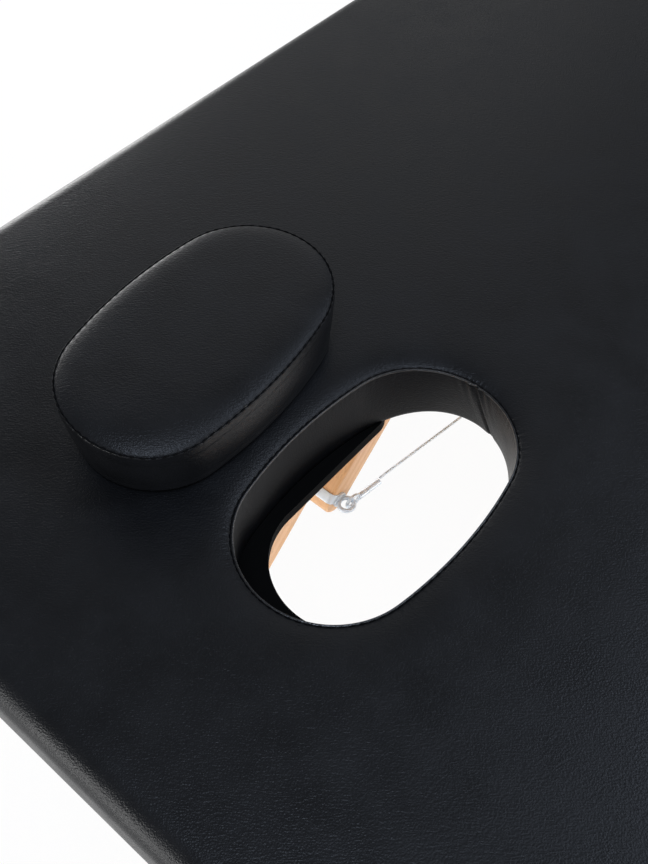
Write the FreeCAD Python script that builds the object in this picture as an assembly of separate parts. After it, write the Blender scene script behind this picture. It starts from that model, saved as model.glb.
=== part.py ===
import FreeCAD, Part
import math
import os

from FreeCAD import Vector

# Folding massage table. Millimetres, +Z up, origin on the floor under the middle of the table.
# The head half is at -X, the foot half at +X. Each half is modelled at +X and mirrored where needed.

# Overall size
table_length = 1860.0
table_width = 700.0
table_height = 620.0
middle_gap = 2.0

# Padded top
pad_thickness = 52.0
cover_thickness = 1.5
deck_thickness = 6.0
pad_corner_radius = 30.0
pad_edge_radius = 18.0
cover_lip = 14.0

# Face hole, a four-arc oval, and the stop under it that carries the plug
hole_setback = 230.0
hole_half_length = 100.0
hole_half_width = 61.5
hole_end_radius = 57.5
hole_rim_radius = 3.0
deck_hole_margin = 14.0
ledge_thickness = 9.0
ledge_reach = 11.0
ledge_end_reach = 25.5
ledge_border = 26.0
ledge_arm_length = 88.0
ledge_arm_radius = 18.0
ledge_end_radius = 40.0

# Plug cushion, lying on the top beside the hole
plug_half_length = 98.0
plug_half_width = 58.5
plug_end_radius = 54.5
plug_height = 50.0
plug_crown = 5.0
plug_draw_in = 5.0
plug_place_x = 11.0
plug_place_y = 131.0
plug_turn = 4.0

# Beech frame of each half
rail_depth = 54.0
rail_thickness = 22.0
rail_inset = 18.0
rail_edge_radius = 3.0
rail_gap = 4.4
brace_rail_half_length = 205.0
pivot_block_length = 44.0
pivot_block_depth = 44.0

# Middle hinges
hinge_spread = 210.0
hinge_length = 70.0
hinge_knuckles = 5
hinge_leaf_height = 40.0
hinge_barrel_radius = 4.5
hinge_pin_radius = 2.2
hinge_notch = 0.7
fold_clearance = 0.6
knuckle_gap = 0.3

# Legs
leg_pivot_setback = 197.0
leg_pivot_drop = 25.0
leg_splay = 11.0
leg_width = 38.0
upper_leg_thickness = 22.0
extension_thickness = 20.0
extension_land = 23.0
leg_side_clearance = 7.0
leg_lap_gap = 0.4
leg_nest_step = 22.0
lath_edge_radius = 3.0
leg_travel = 150.0
crossbar_depth = 34.0
crossbar_margin = 1.0
crossbar_thickness = 20.0

# Rubber feet
foot_height = 26.0
foot_sole = 6.0
foot_cheek = 0.4
tenon_thickness = 14.0
tenon_width = 30.0

# Clamp bolts and knobs
clamp_rise = 40.0
clamp_spacing = 65.0
clamp_bolt_radius = 4.0
clamp_head_radius = 9.0
clamp_head_height = 4.0
clamp_slot_clearance = 0.3
clamp_bolt_grip = 18.0
washer_radius = 11.0
washer_thickness = 1.6
knob_radius = 18.0
knob_hub_radius = 10.0
knob_hub_height = 7.0
knob_height = 22.0
knob_lobes = 5
knob_scallop_radius = 8.0

# Folding knuckle braces
brace_leg_reach = 320.0
brace_frame_reach = 265.0
brace_width = 30.0
brace_thickness = 22.0
brace_inner_y = 97.0
brace_side_clearance = 0.7
brace_notch_clearance = 1.5
clevis_reach = 20.0
clevis_ear = 2.5
clevis_ear_radius = 11.0
clevis_side_clearance = 0.3
pivot_pin_radius = 4.0
pivot_head_radius = 7.0
pivot_head_height = 2.5
leg_bolt_radius = 5.0
leg_bolt_head_radius = 10.0

# Knuckle eyes and steel cables
knuckle_washer_radius = 9.0
knuckle_head_radius = 8.0
knuckle_head_height = 4.0
eye_collar_radius = 7.0
eye_collar = 2.0
eye_radius = 6.5
eye_wire_radius = 1.9
thimble_radius = 6.5
thimble_wire_radius = 1.5
sleeve_radius = 2.8
sleeve_length = 24.0
cable_radius = 1.25
cable_offset = 2.5

# Fits
running_clearance = 0.08
seat_clearance = 0.4

# Headrest sockets in the head end rail
socket_spacing = 203.0
socket_bore_radius = 10.2
socket_wall = 2.8
socket_flange_radius = 17.0
socket_flange = 2.0
socket_length = 64.0

# Latches on the -Y rails
latch_inner_place = 250.0
latch_pivot_offset = 53.0
latch_height = 27.0
latch_plate = 2.5
latch_plate_length = 40.0
latch_plate_depth = 30.0
latch_pivot_radius = 4.0
latch_cap_radius = 7.0
latch_cap = 2.0
hook_thickness = 3.0
hook_width = 16.0
stud_radius = 3.5

# Strap handles on the -Y rails
handle_length = 190.0
handle_tab = 34.0
handle_width = 28.0
handle_thickness = 4.0
handle_bow = 12.0

# Levels and places worked out from the sizes above
deck_top = table_height - pad_thickness
deck_bottom = deck_top - deck_thickness
frame_bottom = deck_bottom - rail_depth
fold_z = frame_bottom - fold_clearance / 2
half_length = table_length / 2
half_width = table_width / 2
hole_x = half_length - hole_setback
seam_z = table_height - hole_rim_radius
rail_outer_y = half_width - rail_inset
rail_inner_y = rail_outer_y - rail_thickness
rail_end_x = half_length - rail_inset
rail_start_x = rail_gap / 2
leg_pivot_x = half_length - leg_pivot_setback
pivot_z = deck_bottom - leg_pivot_drop
pivot = Vector(leg_pivot_x, 0, pivot_z)
splay = math.radians(leg_splay)
leg_down = Vector(math.sin(splay), 0, -math.cos(splay))
Y = Vector(0, 1, 0)
Z = Vector(0, 0, 1)

brace_lap_gap = clevis_side_clearance + clevis_ear + pivot_head_height + brace_side_clearance
brace_outer_y = brace_inner_y + brace_thickness + brace_lap_gap
brace_foot = pivot + leg_down * brace_leg_reach
crossbar_top = brace_leg_reach + clevis_reach
upper_leg_reach = crossbar_top + crossbar_depth + crossbar_margin
clamp_places = (crossbar_top - clamp_rise - clamp_spacing, crossbar_top - clamp_rise)
extension_top = clamp_places[0] - leg_travel - extension_land
latch_places = (latch_inner_place, leg_pivot_x - latch_pivot_offset)
handle_place = sum(latch_places) / 2
brace_head = pivot - Vector(brace_frame_reach, 0, 0)
brace_span = brace_foot - brace_head
upper_brace_length = (brace_span.Length - (brace_leg_reach - brace_frame_reach)) / 2
knuckle = brace_head + brace_span * (upper_brace_length / brace_span.Length)
eye_y = brace_inner_y - eye_collar - eye_radius
HALVES = {"head": 0.0, "foot": leg_nest_step}


def block(x0, x1, y0, y1, z0, z1):
    """A box between two opposite corners."""
    return Part.makeBox(x1 - x0, y1 - y0, z1 - z0, Vector(x0, y0, z0))


def rod(x, z, y0, y1, radius):
    """A cylinder along Y."""
    return Part.makeCylinder(radius, y1 - y0, Vector(x, y0, z), Y)


def on_both_sides(shape):
    """The shape and its mirror image across the table's long middle plane."""
    return [shape, shape.mirror(Vector(), Y)]


def mirror_to_head(shape):
    """The shape carried from the foot half to the head half."""
    return shape.mirror(Vector(), Vector(1, 0, 0))


def lath(start, end, width, y0, y1, edge=0.0):
    """A flat bar across Y with round ends about two points, and its long edges eased."""
    along = (end - start).normalize()
    side = along.cross(Y) * (width / 2)
    tip = along * (width / 2)
    low = Vector(0, y0, 0)
    outline = Part.Wire([
        Part.LineSegment(start + side + low, end + side + low).toShape(),
        Part.Arc(end + side + low, end + tip + low, end - side + low).toShape(),
        Part.LineSegment(end - side + low, start - side + low).toShape(),
        Part.Arc(start - side + low, start - tip + low, start + side + low).toShape(),
    ])
    bar = Part.Face(outline).extrude(Vector(0, y1 - y0, 0))
    if not edge:
        return bar
    rims = [e for e in bar.Edges if e.BoundBox.YLength < edge]
    return bar.makeFillet(edge, rims)


def oval(half_long, half_short, end_radius, z, centre=Vector()):
    """A closed wire of two end arcs and two flatter side arcs, tangent where they meet."""
    reach = half_long - end_radius
    side_radius = (reach**2 + half_short**2 - end_radius**2) / (2 * (half_short - end_radius))
    drop = side_radius - half_short
    scale = end_radius / math.hypot(reach, drop)
    tx = reach + reach * scale
    ty = drop * scale
    at = centre + Vector(0, 0, z)
    a, b = at + Vector(tx, -ty, 0), at + Vector(tx, ty, 0)
    c, d = at + Vector(-tx, ty, 0), at + Vector(-tx, -ty, 0)
    return Part.Wire([
        Part.Arc(a, at + Vector(half_long, 0, 0), b).toShape(),
        Part.Arc(b, at + Vector(0, half_short, 0), c).toShape(),
        Part.Arc(c, at - Vector(half_long, 0, 0), d).toShape(),
        Part.Arc(d, at - Vector(0, half_short, 0), a).toShape(),
    ])


def hole_prism(grow, z0, z1):
    """The face hole as a solid, grown outwards by a thickness."""
    wire = oval(hole_half_length + grow, hole_half_width + grow, hole_end_radius + grow, z0,
                Vector(hole_x, 0, 0))
    return Part.Face(wire).extrude(Vector(0, 0, z1 - z0))


def level_edges(shape, z, inside=None):
    """Edges that lie at one level, or only those of the face hole."""
    found = [e for e in shape.Edges if e.BoundBox.ZLength < 0.01 and abs(e.BoundBox.ZMax - z) < 0.01]
    if inside is None:
        return found
    return [e for e in found if (e.BoundBox.Center - inside).Length < hole_half_length * 1.1]


def slab(inset, z0, z1):
    """The plan of one half's pad, drawn in by a skin, with round corners."""
    x0 = middle_gap / 2 + inset
    body = block(x0, half_length - inset, inset - half_width, half_width - inset, z0, z1)
    upright = [e for e in body.Edges if e.BoundBox.ZLength > (z1 - z0) / 2]
    return body.makeFillet(pad_corner_radius - inset, upright)


def padded(inset, z0, z1, holed):
    """A slab with its top edge rolled, and the rim of the face hole rolled in the head half."""
    body = slab(inset, z0, z1)
    body = body.makeFillet(pad_edge_radius - inset, level_edges(body, z1))
    if not holed:
        return body
    body = body.cut(hole_prism(inset, z0 - 1, z1 + 1))
    rim = level_edges(body, z1, Vector(hole_x, 0, z1))
    return body.makeFillet(hole_rim_radius - inset, rim)


def pad_pieces(holed):
    """Leather cover, foam and deck of one half."""
    skin = cover_thickness
    foam = padded(skin, deck_top, table_height - skin, holed)
    deck = slab(skin, deck_bottom, deck_top)
    if holed:
        deck = deck.cut(hole_prism(deck_hole_margin, deck_bottom - 1, deck_top + 1))
    cover = padded(0.0, deck_bottom - skin, table_height, holed).cut(foam).cut(deck)
    window = block(0, half_length - skin - cover_lip, skin + cover_lip - half_width,
                   half_width - skin - cover_lip, deck_bottom - skin - 1, deck_bottom)
    middle = block(0, pad_corner_radius, -half_width, half_width, deck_bottom - skin - 1, deck_bottom)
    cover = cover.cut(window).cut(middle)
    if holed:
        cover = cover.cut(hole_prism(skin, deck_bottom - skin - 1, seam_z))
        cover = cover.cut(hole_prism(deck_hole_margin, deck_bottom - skin - 1, deck_top))
    return cover, foam, deck


def hole_liner():
    """The leather sleeve of the face hole, from the rim seam down to the underside of the deck."""
    return hole_prism(cover_thickness, deck_bottom, seam_z).cut(hole_prism(0, deck_bottom - 1, seam_z + 1))


def plug_ledge():
    """A horseshoe under the deck, open towards the table's middle, that stops the plug."""
    z0 = deck_bottom - ledge_thickness
    half = hole_half_width + ledge_border
    inner = hole_half_width - ledge_reach
    arm_x = hole_x - ledge_arm_length
    end_x = hole_x + hole_half_length + ledge_border
    plate = block(arm_x, end_x, -half, half, z0, deck_bottom)
    outer_corners = [e for e in plate.Edges if e.BoundBox.ZLength > 1 and e.BoundBox.XMin > hole_x]
    plate = plate.makeFillet(ledge_end_radius, outer_corners)
    round_x = hole_x + hole_half_length - ledge_end_reach - inner
    mouth = block(arm_x - 1, round_x, -inner, inner, z0 - 1, deck_bottom + 1)
    mouth = mouth.fuse(Part.makeCylinder(inner, ledge_thickness + 2, Vector(round_x, 0, z0 - 1), Z))
    plate = plate.cut(mouth.removeSplitter())
    arm_corners = [e for e in plate.Edges if e.BoundBox.ZLength > 1 and e.BoundBox.XMax < arm_x + 1]
    return plate.makeFillet(ledge_arm_radius, arm_corners)


def plug_form(skin):
    """The plug cushion as a loft of ovals: drawn in below, full in the side, crowned on top."""
    side = plug_height - plug_crown
    levels = (
        (0.0, plug_draw_in),
        (0.14 * side, 0.3 * plug_draw_in),
        (0.45 * side, 0.0),
        (0.80 * side, 0.1 * plug_draw_in),
        (side, 0.4 * plug_draw_in),
        (side + 0.55 * plug_crown, 0.14 * plug_half_width),
        (side + 0.88 * plug_crown, 0.40 * plug_half_width),
        (plug_height, 0.70 * plug_half_width),
    )
    squeeze = (plug_height - 2 * skin) / plug_height
    wires = [
        oval(plug_half_length - d - skin, plug_half_width - d - skin, plug_end_radius - d - skin,
             skin + z * squeeze)
        for z, d in levels
    ]
    return Part.makeLoft(wires, True, True)


def plug_pieces():
    """Cover and foam of the plug, laid on the top beside the hole, a little turned."""
    outer = plug_form(0.0)
    foam = plug_form(cover_thickness)
    cover = outer.cut(foam)
    place = Vector(-hole_x - plug_place_x, plug_place_y, table_height + seat_clearance)
    for shape in (cover, foam):
        shape.rotate(Vector(), Z, plug_turn)
        shape.translate(place)
    return cover, foam


def side_rail():
    """One long rail, with its lower edges eased and the hole of the leg bolt."""
    rail = block(rail_start_x, rail_end_x, rail_inner_y, rail_outer_y, frame_bottom, deck_bottom)
    low = [e for e in level_edges(rail, frame_bottom) if e.BoundBox.XLength > rail_thickness * 2]
    rail = rail.makeFillet(rail_edge_radius, low)
    return rail.cut(rod(leg_pivot_x, pivot_z, 0, half_width, leg_bolt_radius + running_clearance))


def end_rail(with_sockets):
    """The rail across the end, bored for the headrest in the head half."""
    rail = block(rail_end_x - rail_thickness, rail_end_x, -rail_inner_y, rail_inner_y,
                 frame_bottom, deck_bottom)
    low = [e for e in level_edges(rail, frame_bottom) if e.BoundBox.YLength > rail_thickness * 2]
    rail = rail.makeFillet(rail_edge_radius, low)
    if with_sockets:
        for sleeve in socket_solids(socket_bore_radius + socket_wall, 0.0):
            rail = rail.cut(sleeve)
    return rail


def socket_solids(radius, flange_radius):
    """Two cylinders along X on the headrest axes, with a flange on the rail's outer face."""
    solids = []
    for y in (-socket_spacing / 2, socket_spacing / 2):
        at = Vector(rail_end_x - socket_length, y, frame_bottom + rail_depth / 2)
        solid = Part.makeCylinder(radius, socket_length, at, Vector(1, 0, 0))
        if flange_radius:
            face = Vector(rail_end_x, y, frame_bottom + rail_depth / 2)
            solid = solid.fuse(Part.makeCylinder(flange_radius, socket_flange, face, Vector(1, 0, 0)))
        solids.append(solid)
    return solids


def headrest_sockets():
    """Two flanged sleeves that take the pegs of a headrest."""
    sleeves = socket_solids(socket_bore_radius + socket_wall, socket_flange_radius)
    reach = Vector(socket_flange * 2, 0, 0)
    bores = []
    for y in (-socket_spacing / 2, socket_spacing / 2):
        at = Vector(rail_end_x - socket_length, y, frame_bottom + rail_depth / 2) - reach
        bores.append(Part.makeCylinder(socket_bore_radius, socket_length + 4 * socket_flange, at,
                                       Vector(1, 0, 0)))
    return [s.cut(b).removeSplitter() for s, b in zip(sleeves, bores)]


def centre_rail():
    """The rail along the middle, notched for the hinge barrels."""
    rail = block(rail_start_x, rail_start_x + rail_thickness, -rail_inner_y, rail_inner_y,
                 frame_bottom, deck_bottom)
    for y in hinge_places():
        rail = rail.cut(rod(0, fold_z, y - hinge_length / 2 - knuckle_gap,
                            y + hinge_length / 2 + knuckle_gap, hinge_barrel_radius + hinge_notch))
    return rail


def brace_rail():
    """The short rail that carries the brace hangers, notched for the folded lower braces."""
    face = brace_head.x - clevis_reach
    rail = block(face - rail_thickness, face, -brace_rail_half_length, brace_rail_half_length,
                 frame_bottom + rail_edge_radius, deck_bottom)
    room = brace_notch_clearance
    roof = pivot_z + brace_width / 2 + room
    notch = block(face - rail_thickness - 1, face + 1, brace_outer_y - room,
                  brace_outer_y + brace_thickness + room, frame_bottom, roof)
    for cut in on_both_sides(notch):
        rail = rail.cut(cut)
    return rail


def leg_lanes(inset):
    """Y ranges of a leg frame's extension and upper leg; the foot frame nests inside the head frame."""
    outer = rail_inner_y - leg_side_clearance - inset
    extension = (outer - extension_thickness, outer)
    upper = (extension[0] - leg_lap_gap - upper_leg_thickness, extension[0] - leg_lap_gap)
    return extension, upper


def pivot_block(inset):
    """A block on the side rail that brings the leg pivot in to the upper leg."""
    upper = leg_lanes(inset)[1]
    x0 = leg_pivot_x - pivot_block_length / 2
    body = block(x0, x0 + pivot_block_length, upper[1] + seat_clearance, rail_inner_y,
                 deck_bottom - pivot_block_depth, deck_bottom)
    low = level_edges(body, deck_bottom - pivot_block_depth)
    body = body.makeFillet(rail_edge_radius, [e for e in low if e.BoundBox.YLength > 1])
    return body.cut(rod(leg_pivot_x, pivot_z, 0, half_width, leg_bolt_radius + running_clearance))


def leg_bolt(inset):
    """The bolt that a leg swings on, from a round head on the rail to a nut inside the leg."""
    upper = leg_lanes(inset)[1]
    nut_y = upper[0] - seat_clearance - washer_thickness - clamp_head_height
    shank = rod(leg_pivot_x, pivot_z, nut_y, rail_outer_y, leg_bolt_radius)
    head = rod(leg_pivot_x, pivot_z, rail_outer_y, rail_outer_y + clamp_head_height, leg_bolt_head_radius)
    nut = rod(leg_pivot_x, pivot_z, nut_y, upper[0] - seat_clearance, leg_bolt_head_radius)
    return shank.fuse([head, nut]).removeSplitter()


def clevis(y0, y1, at, turn):
    """A bent bracket with two ears astride a brace, its base clevis_reach below, and its pin."""
    gap = clevis_side_clearance
    ears = [(y0 - gap - clevis_ear, y0 - gap), (y1 + gap, y1 + gap + clevis_ear)]
    bend = Vector(0, 0, -clevis_reach + clevis_ear)
    solids = [lath(Vector(), bend, 2 * clevis_ear_radius, a, b) for a, b in ears]
    base = block(-clevis_ear_radius, clevis_ear_radius, ears[0][0], ears[1][1],
                 -clevis_reach, clevis_ear - clevis_reach)
    below = block(-half_width, half_width, -half_width, half_width, -half_width, -clevis_reach)
    bracket = base.fuse(solids).cut(below)
    bracket = bracket.cut(rod(0, 0, ears[0][0] - 1, ears[1][1] + 1, pivot_pin_radius + running_clearance))
    pin = rod(0, 0, ears[0][0], ears[1][1], pivot_pin_radius)
    for a, b in ((ears[0][0] - pivot_head_height, ears[0][0]), (ears[1][1], ears[1][1] + pivot_head_height)):
        pin = pin.fuse(rod(0, 0, a, b, pivot_head_radius))
    placed = [bracket.removeSplitter(), pin.removeSplitter()]
    for solid in placed:
        solid.rotate(Vector(), Y, turn)
        solid.translate(at)
    return placed


def brace_hangers():
    """Brackets on the brace rail for the upper braces, on both sides."""
    pieces = clevis(brace_inner_y, brace_inner_y + brace_thickness, brace_head, 90)
    return [s for p in pieces for s in on_both_sides(p)]


def brace_clevises():
    """Brackets on the leg crossbar for the lower braces, on both sides."""
    pieces = clevis(brace_outer_y, brace_outer_y + brace_thickness, brace_foot, -leg_splay)
    return [s for p in pieces for s in on_both_sides(p)]


def leg_frame(inset):
    """Two upper legs and the crossbar between them."""
    upper = leg_lanes(inset)[1]
    end = pivot + leg_down * (upper_leg_reach - leg_width / 2)
    leg = lath(pivot, end, leg_width, upper[0], upper[1], lath_edge_radius)
    leg = leg.cut(rod(leg_pivot_x, pivot_z, 0, half_width, leg_bolt_radius + running_clearance))
    for place in clamp_places:
        at = pivot + leg_down * place
        leg = leg.cut(rod(at.x, at.z, 0, half_width, clamp_bolt_radius + running_clearance))
    half = crossbar_thickness / 2
    bar = block(leg_pivot_x - half, leg_pivot_x + half, -upper[0], upper[0],
                pivot_z - crossbar_top - crossbar_depth, pivot_z - crossbar_top)
    bar = bar.makeFillet(lath_edge_radius, [e for e in bar.Edges if e.BoundBox.YLength > half * 2])
    bar.rotate(pivot, Y, -leg_splay)
    return on_both_sides(leg) + [bar]


def clamp_bolt(inset, place):
    """A round-headed bolt through the slot and the upper leg, with the washer under the knob."""
    extension, upper = leg_lanes(inset)
    at = pivot + leg_down * place
    end = upper[0] - washer_thickness - clamp_bolt_grip
    head_y = extension[1] + running_clearance
    shank = rod(at.x, at.z, end, head_y, clamp_bolt_radius)
    head = rod(at.x, at.z, head_y, head_y + clamp_head_height, clamp_head_radius)
    head = head.makeFillet(clamp_head_height * 0.7, [e for e in head.Edges if e.BoundBox.YMin > head_y + 1])
    washer = rod(at.x, at.z, upper[0] - washer_thickness, upper[0], washer_radius)
    washer = washer.cut(rod(at.x, at.z, end, head_y, clamp_bolt_radius + running_clearance))
    return [shank.fuse(head).removeSplitter(), washer]


def leg_hardware(inset):
    """Clamp bolts, washers and brace clevises of one leg frame."""
    solids = [s for place in clamp_places for p in clamp_bolt(inset, place) for s in on_both_sides(p)]
    return solids + brace_clevises()


def extension_tenon(inset, top):
    """The reduced lower end of an extension, which the rubber foot holds."""
    lane = leg_lanes(inset)[0]
    cheek = (extension_thickness - tenon_thickness) / 2
    body = lath(pivot, pivot + leg_down * table_height, tenon_width, lane[0] + cheek, lane[1] - cheek)
    return body.common(block(0, table_length, 0, half_width, foot_sole, top))


def leg_extension(inset):
    """The slotted lower leg that slides on the clamp bolts, cut level above its foot."""
    lane = leg_lanes(inset)[0]
    top = pivot + leg_down * (extension_top + leg_width / 2)
    body = lath(top, pivot + leg_down * table_height, leg_width, lane[0], lane[1], lath_edge_radius)
    body = body.common(block(0, table_length, 0, half_width, foot_height, table_height))
    body = body.fuse(extension_tenon(inset, foot_height + leg_width / 2)).removeSplitter()
    slot = 2 * (clamp_bolt_radius + clamp_slot_clearance)
    first = pivot + leg_down * (clamp_places[0] - leg_travel)
    last = pivot + leg_down * clamp_places[-1]
    return body.cut(lath(first, last, slot, 0, half_width))


def rubber_foot(inset):
    """A rubber shoe on the tenon, flat on the floor."""
    lane = leg_lanes(inset)[0]
    body = lath(pivot, pivot + leg_down * table_height, leg_width + 4 * foot_cheek,
                lane[0] - foot_cheek, lane[1] + foot_cheek)
    body = body.common(block(0, table_length, 0, half_width, 0, foot_height))
    return body.cut(extension_tenon(inset, foot_height + 1))


def clamp_knob(inset, place):
    """A lobed hand knob with a blind bore, on the inner side of the upper leg."""
    upper = leg_lanes(inset)[1]
    at = pivot + leg_down * place
    top = upper[0] - washer_thickness - seat_clearance
    hub = rod(at.x, at.z, top - knob_height, top, knob_hub_radius)
    grip = rod(at.x, at.z, top - knob_height, top - knob_hub_height, knob_radius)
    edges = [e for e in grip.Edges if e.BoundBox.YLength < 0.01]
    grip = grip.makeFillet(knob_height / 10, edges)
    for i in range(knob_lobes):
        turn = 2 * math.pi * (i + 0.5) / knob_lobes
        reach = knob_radius + knob_scallop_radius * 0.55
        cut = rod(at.x + reach * math.cos(turn), at.z + reach * math.sin(turn),
                  top - knob_height - 1, top + 1, knob_scallop_radius)
        grip = grip.cut(cut)
    bore_end = upper[0] - washer_thickness - clamp_bolt_grip - seat_clearance
    bore = rod(at.x, at.z, bore_end, top + 1, clamp_bolt_radius + running_clearance)
    return hub.fuse(grip).removeSplitter().cut(bore)


def upper_brace():
    """The brace lath from the frame hanger to the knuckle."""
    y0, y1 = brace_inner_y, brace_inner_y + brace_thickness
    body = lath(brace_head, knuckle, brace_width, y0, y1, lath_edge_radius)
    for at in (brace_head, knuckle):
        body = body.cut(rod(at.x, at.z, y0 - 1, y1 + 1, pivot_pin_radius + running_clearance))
    return body


def lower_brace():
    """The brace lath from the knuckle to the leg crossbar, lapped outside the upper one."""
    y0, y1 = brace_outer_y, brace_outer_y + brace_thickness
    body = lath(knuckle, brace_foot, brace_width, y0, y1, lath_edge_radius)
    for at in (brace_foot, knuckle):
        body = body.cut(rod(at.x, at.z, y0 - 1, y1 + 1, pivot_pin_radius + running_clearance))
    return body


def knuckle_bolt():
    """The bolt half in the lower brace: head outside, washer at the lap."""
    face = brace_outer_y - brace_lap_gap / 2 + seat_clearance / 2
    end = brace_outer_y + brace_thickness
    shank = rod(knuckle.x, knuckle.z, face, end, pivot_pin_radius)
    washer = rod(knuckle.x, knuckle.z, face, brace_outer_y, knuckle_washer_radius)
    head = rod(knuckle.x, knuckle.z, end, end + knuckle_head_height, knuckle_head_radius)
    return shank.fuse([washer, head]).removeSplitter()


def eye_bolt():
    """The bolt half in the upper brace: washer at the lap, collar and ring on the inner side."""
    face = brace_outer_y - brace_lap_gap / 2 - seat_clearance / 2
    shank = rod(knuckle.x, knuckle.z, brace_inner_y, face, pivot_pin_radius)
    washer = rod(knuckle.x, knuckle.z, brace_inner_y + brace_thickness, face, knuckle_washer_radius)
    collar = rod(knuckle.x, knuckle.z, brace_inner_y - eye_collar, brace_inner_y, eye_collar_radius)
    ring = Part.makeTorus(eye_radius, eye_wire_radius, Vector(knuckle.x, eye_y, knuckle.z), Z)
    return shank.fuse([washer, collar, ring]).removeSplitter()


def cable_line(side):
    """Start of the cable at a ring on one side (+1 or -1), its direction and its level."""
    level = knuckle.z + side * cable_offset
    ring = Vector(knuckle.x, side * eye_y, level)
    along = (Vector(0, 0, level) - ring).normalize()
    hang = thimble_radius - thimble_wire_radius - eye_wire_radius - seat_clearance
    lead = eye_radius + math.sqrt(hang**2 - cable_offset**2)
    return ring, along, lead


def cable_end(side):
    """The thimble that links the ring, with the pressed sleeve behind it."""
    ring, along, lead = cable_line(side)
    loop = Part.makeTorus(thimble_radius, thimble_wire_radius, ring + along * lead, along.cross(Z))
    start = ring + along * (lead + thimble_radius)
    return loop.fuse(Part.makeCylinder(sleeve_radius, sleeve_length, start, along)).removeSplitter()


def cable_run(side):
    """The cable from its sleeve to the middle of the table, where the other half's run meets it."""
    ring, along, lead = cable_line(side)
    start = ring + along * (lead + thimble_radius + sleeve_length)
    middle = Vector(0, 0, start.z)
    return Part.makeCylinder(cable_radius, (middle - start).Length, start, along)


def hinge_places():
    """Y of the middle hinges."""
    return (-hinge_spread, 0.0, hinge_spread)


def hinge_knuckle_ranges(y, odd):
    """Y ranges of one half's barrel pieces, taking turns along the pin."""
    pitch = hinge_length / hinge_knuckles
    start = y - hinge_length / 2
    gap = knuckle_gap / 2
    return [(start + i * pitch + gap, start + (i + 1) * pitch - gap)
            for i in range(hinge_knuckles) if i % 2 == odd]


def hinge_leaf(y, odd):
    """A leaf on the centre rail's face, with its barrel pieces bored for the pin."""
    thick = rail_start_x - knuckle_gap / 2
    leaf = block(rail_start_x - thick, rail_start_x, y - hinge_length / 2, y + hinge_length / 2,
                 fold_z, fold_z + hinge_leaf_height)
    for a, b in hinge_knuckle_ranges(y, 1 - odd):
        leaf = leaf.cut(rod(0, fold_z, a - knuckle_gap, b + knuckle_gap, hinge_barrel_radius + knuckle_gap))
    barrel = [rod(0, fold_z, a, b, hinge_barrel_radius) for a, b in hinge_knuckle_ranges(y, odd)]
    leaf = leaf.fuse(barrel)
    pin_hole = rod(0, fold_z, y - hinge_length, y + hinge_length, hinge_pin_radius + running_clearance)
    return leaf.cut(pin_hole).removeSplitter()


def hinge_pin(y):
    """The pin of one middle hinge."""
    return rod(0, fold_z, y - hinge_length / 2, y + hinge_length / 2, hinge_pin_radius)


def latch_face():
    """Y of the outer face of the latch plates on the -Y rail."""
    return -rail_outer_y - latch_plate


def latch_ground(x):
    """A plate on the -Y rail about a latch pivot or stud, with round corners."""
    z = frame_bottom + latch_height
    body = block(x - latch_plate_length / 2, x + latch_plate_length / 2, latch_face(), -rail_outer_y,
                 z - latch_plate_depth / 2, z + latch_plate_depth / 2)
    return body.makeFillet(latch_plate * 2, [e for e in body.Edges if e.BoundBox.YLength > 1])


def latch_plate_piece(x):
    """A latch plate with the pivot post of its hook."""
    z = frame_bottom + latch_height
    post_end = latch_face() - 2 * seat_clearance - hook_thickness
    post = rod(x, z, post_end, -rail_outer_y, latch_pivot_radius)
    cap = rod(x, z, post_end - latch_cap, post_end, latch_cap_radius)
    return latch_ground(x).fuse([post, cap]).removeSplitter()


def latch_keeper(x):
    """A keeper plate with the stud that the hook catches, capped so that the hook can't slip off."""
    z = frame_bottom + latch_height
    post_end = latch_face() - 2 * seat_clearance - hook_thickness
    stud = rod(x, z, post_end, -rail_outer_y, stud_radius)
    cap = rod(x, z, post_end - latch_cap, post_end, latch_cap_radius)
    return latch_ground(x).fuse([stud, cap]).removeSplitter()


def latch_hook(x):
    """A flat hook, stowed along the rail, with a slot that follows its swing."""
    z = frame_bottom + latch_height
    reach = 2 * latch_height + fold_clearance
    y1 = latch_face() - seat_clearance
    y0 = y1 - hook_thickness
    at = Vector(x, 0, z)
    body = lath(at, at + Vector(reach, 0, 0), hook_width, y0, y1)
    body = body.cut(rod(x, z, y0 - 1, y1 + 1, latch_pivot_radius + running_clearance))
    room = stud_radius + seat_clearance
    ring = rod(x, z, y0 - 1, y1 + 1, reach + room).cut(rod(x, z, y0 - 2, y1 + 2, reach - room))
    mouth = ring.common(block(x, x + 2 * reach, y0 - 1, y1 + 1, z - reach, z))
    seat = rod(x + reach, z, y0 - 1, y1 + 1, room)
    return body.cut(mouth.fuse(seat))


def strap_handle(x):
    """A bowed strap with flat tabs on the -Y rail, of lines and arcs."""
    half = handle_length / 2
    flat = half - handle_tab
    face = -rail_outer_y

    def edge(out):
        tab_a, tab_b = Vector(x - half, face - out, 0), Vector(x - flat, face - out, 0)
        top = Vector(x, face - handle_bow - out, 0)
        tab_c, tab_d = Vector(x + flat, face - out, 0), Vector(x + half, face - out, 0)
        return tab_a, tab_b, top, tab_c, tab_d

    a, b, c, d, e = edge(0)
    f, g, h, i, j = edge(handle_thickness)
    outline = Part.Wire([
        Part.LineSegment(a, b).toShape(), Part.Arc(b, c, d).toShape(), Part.LineSegment(d, e).toShape(),
        Part.LineSegment(e, j).toShape(), Part.LineSegment(j, i).toShape(), Part.Arc(i, h, g).toShape(),
        Part.LineSegment(g, f).toShape(), Part.LineSegment(f, a).toShape(),
    ])
    strap = Part.Face(outline).extrude(Vector(0, 0, handle_width))
    strap.translate(Vector(0, 0, frame_bottom + (rail_depth - handle_width) / 2))
    return strap


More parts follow.
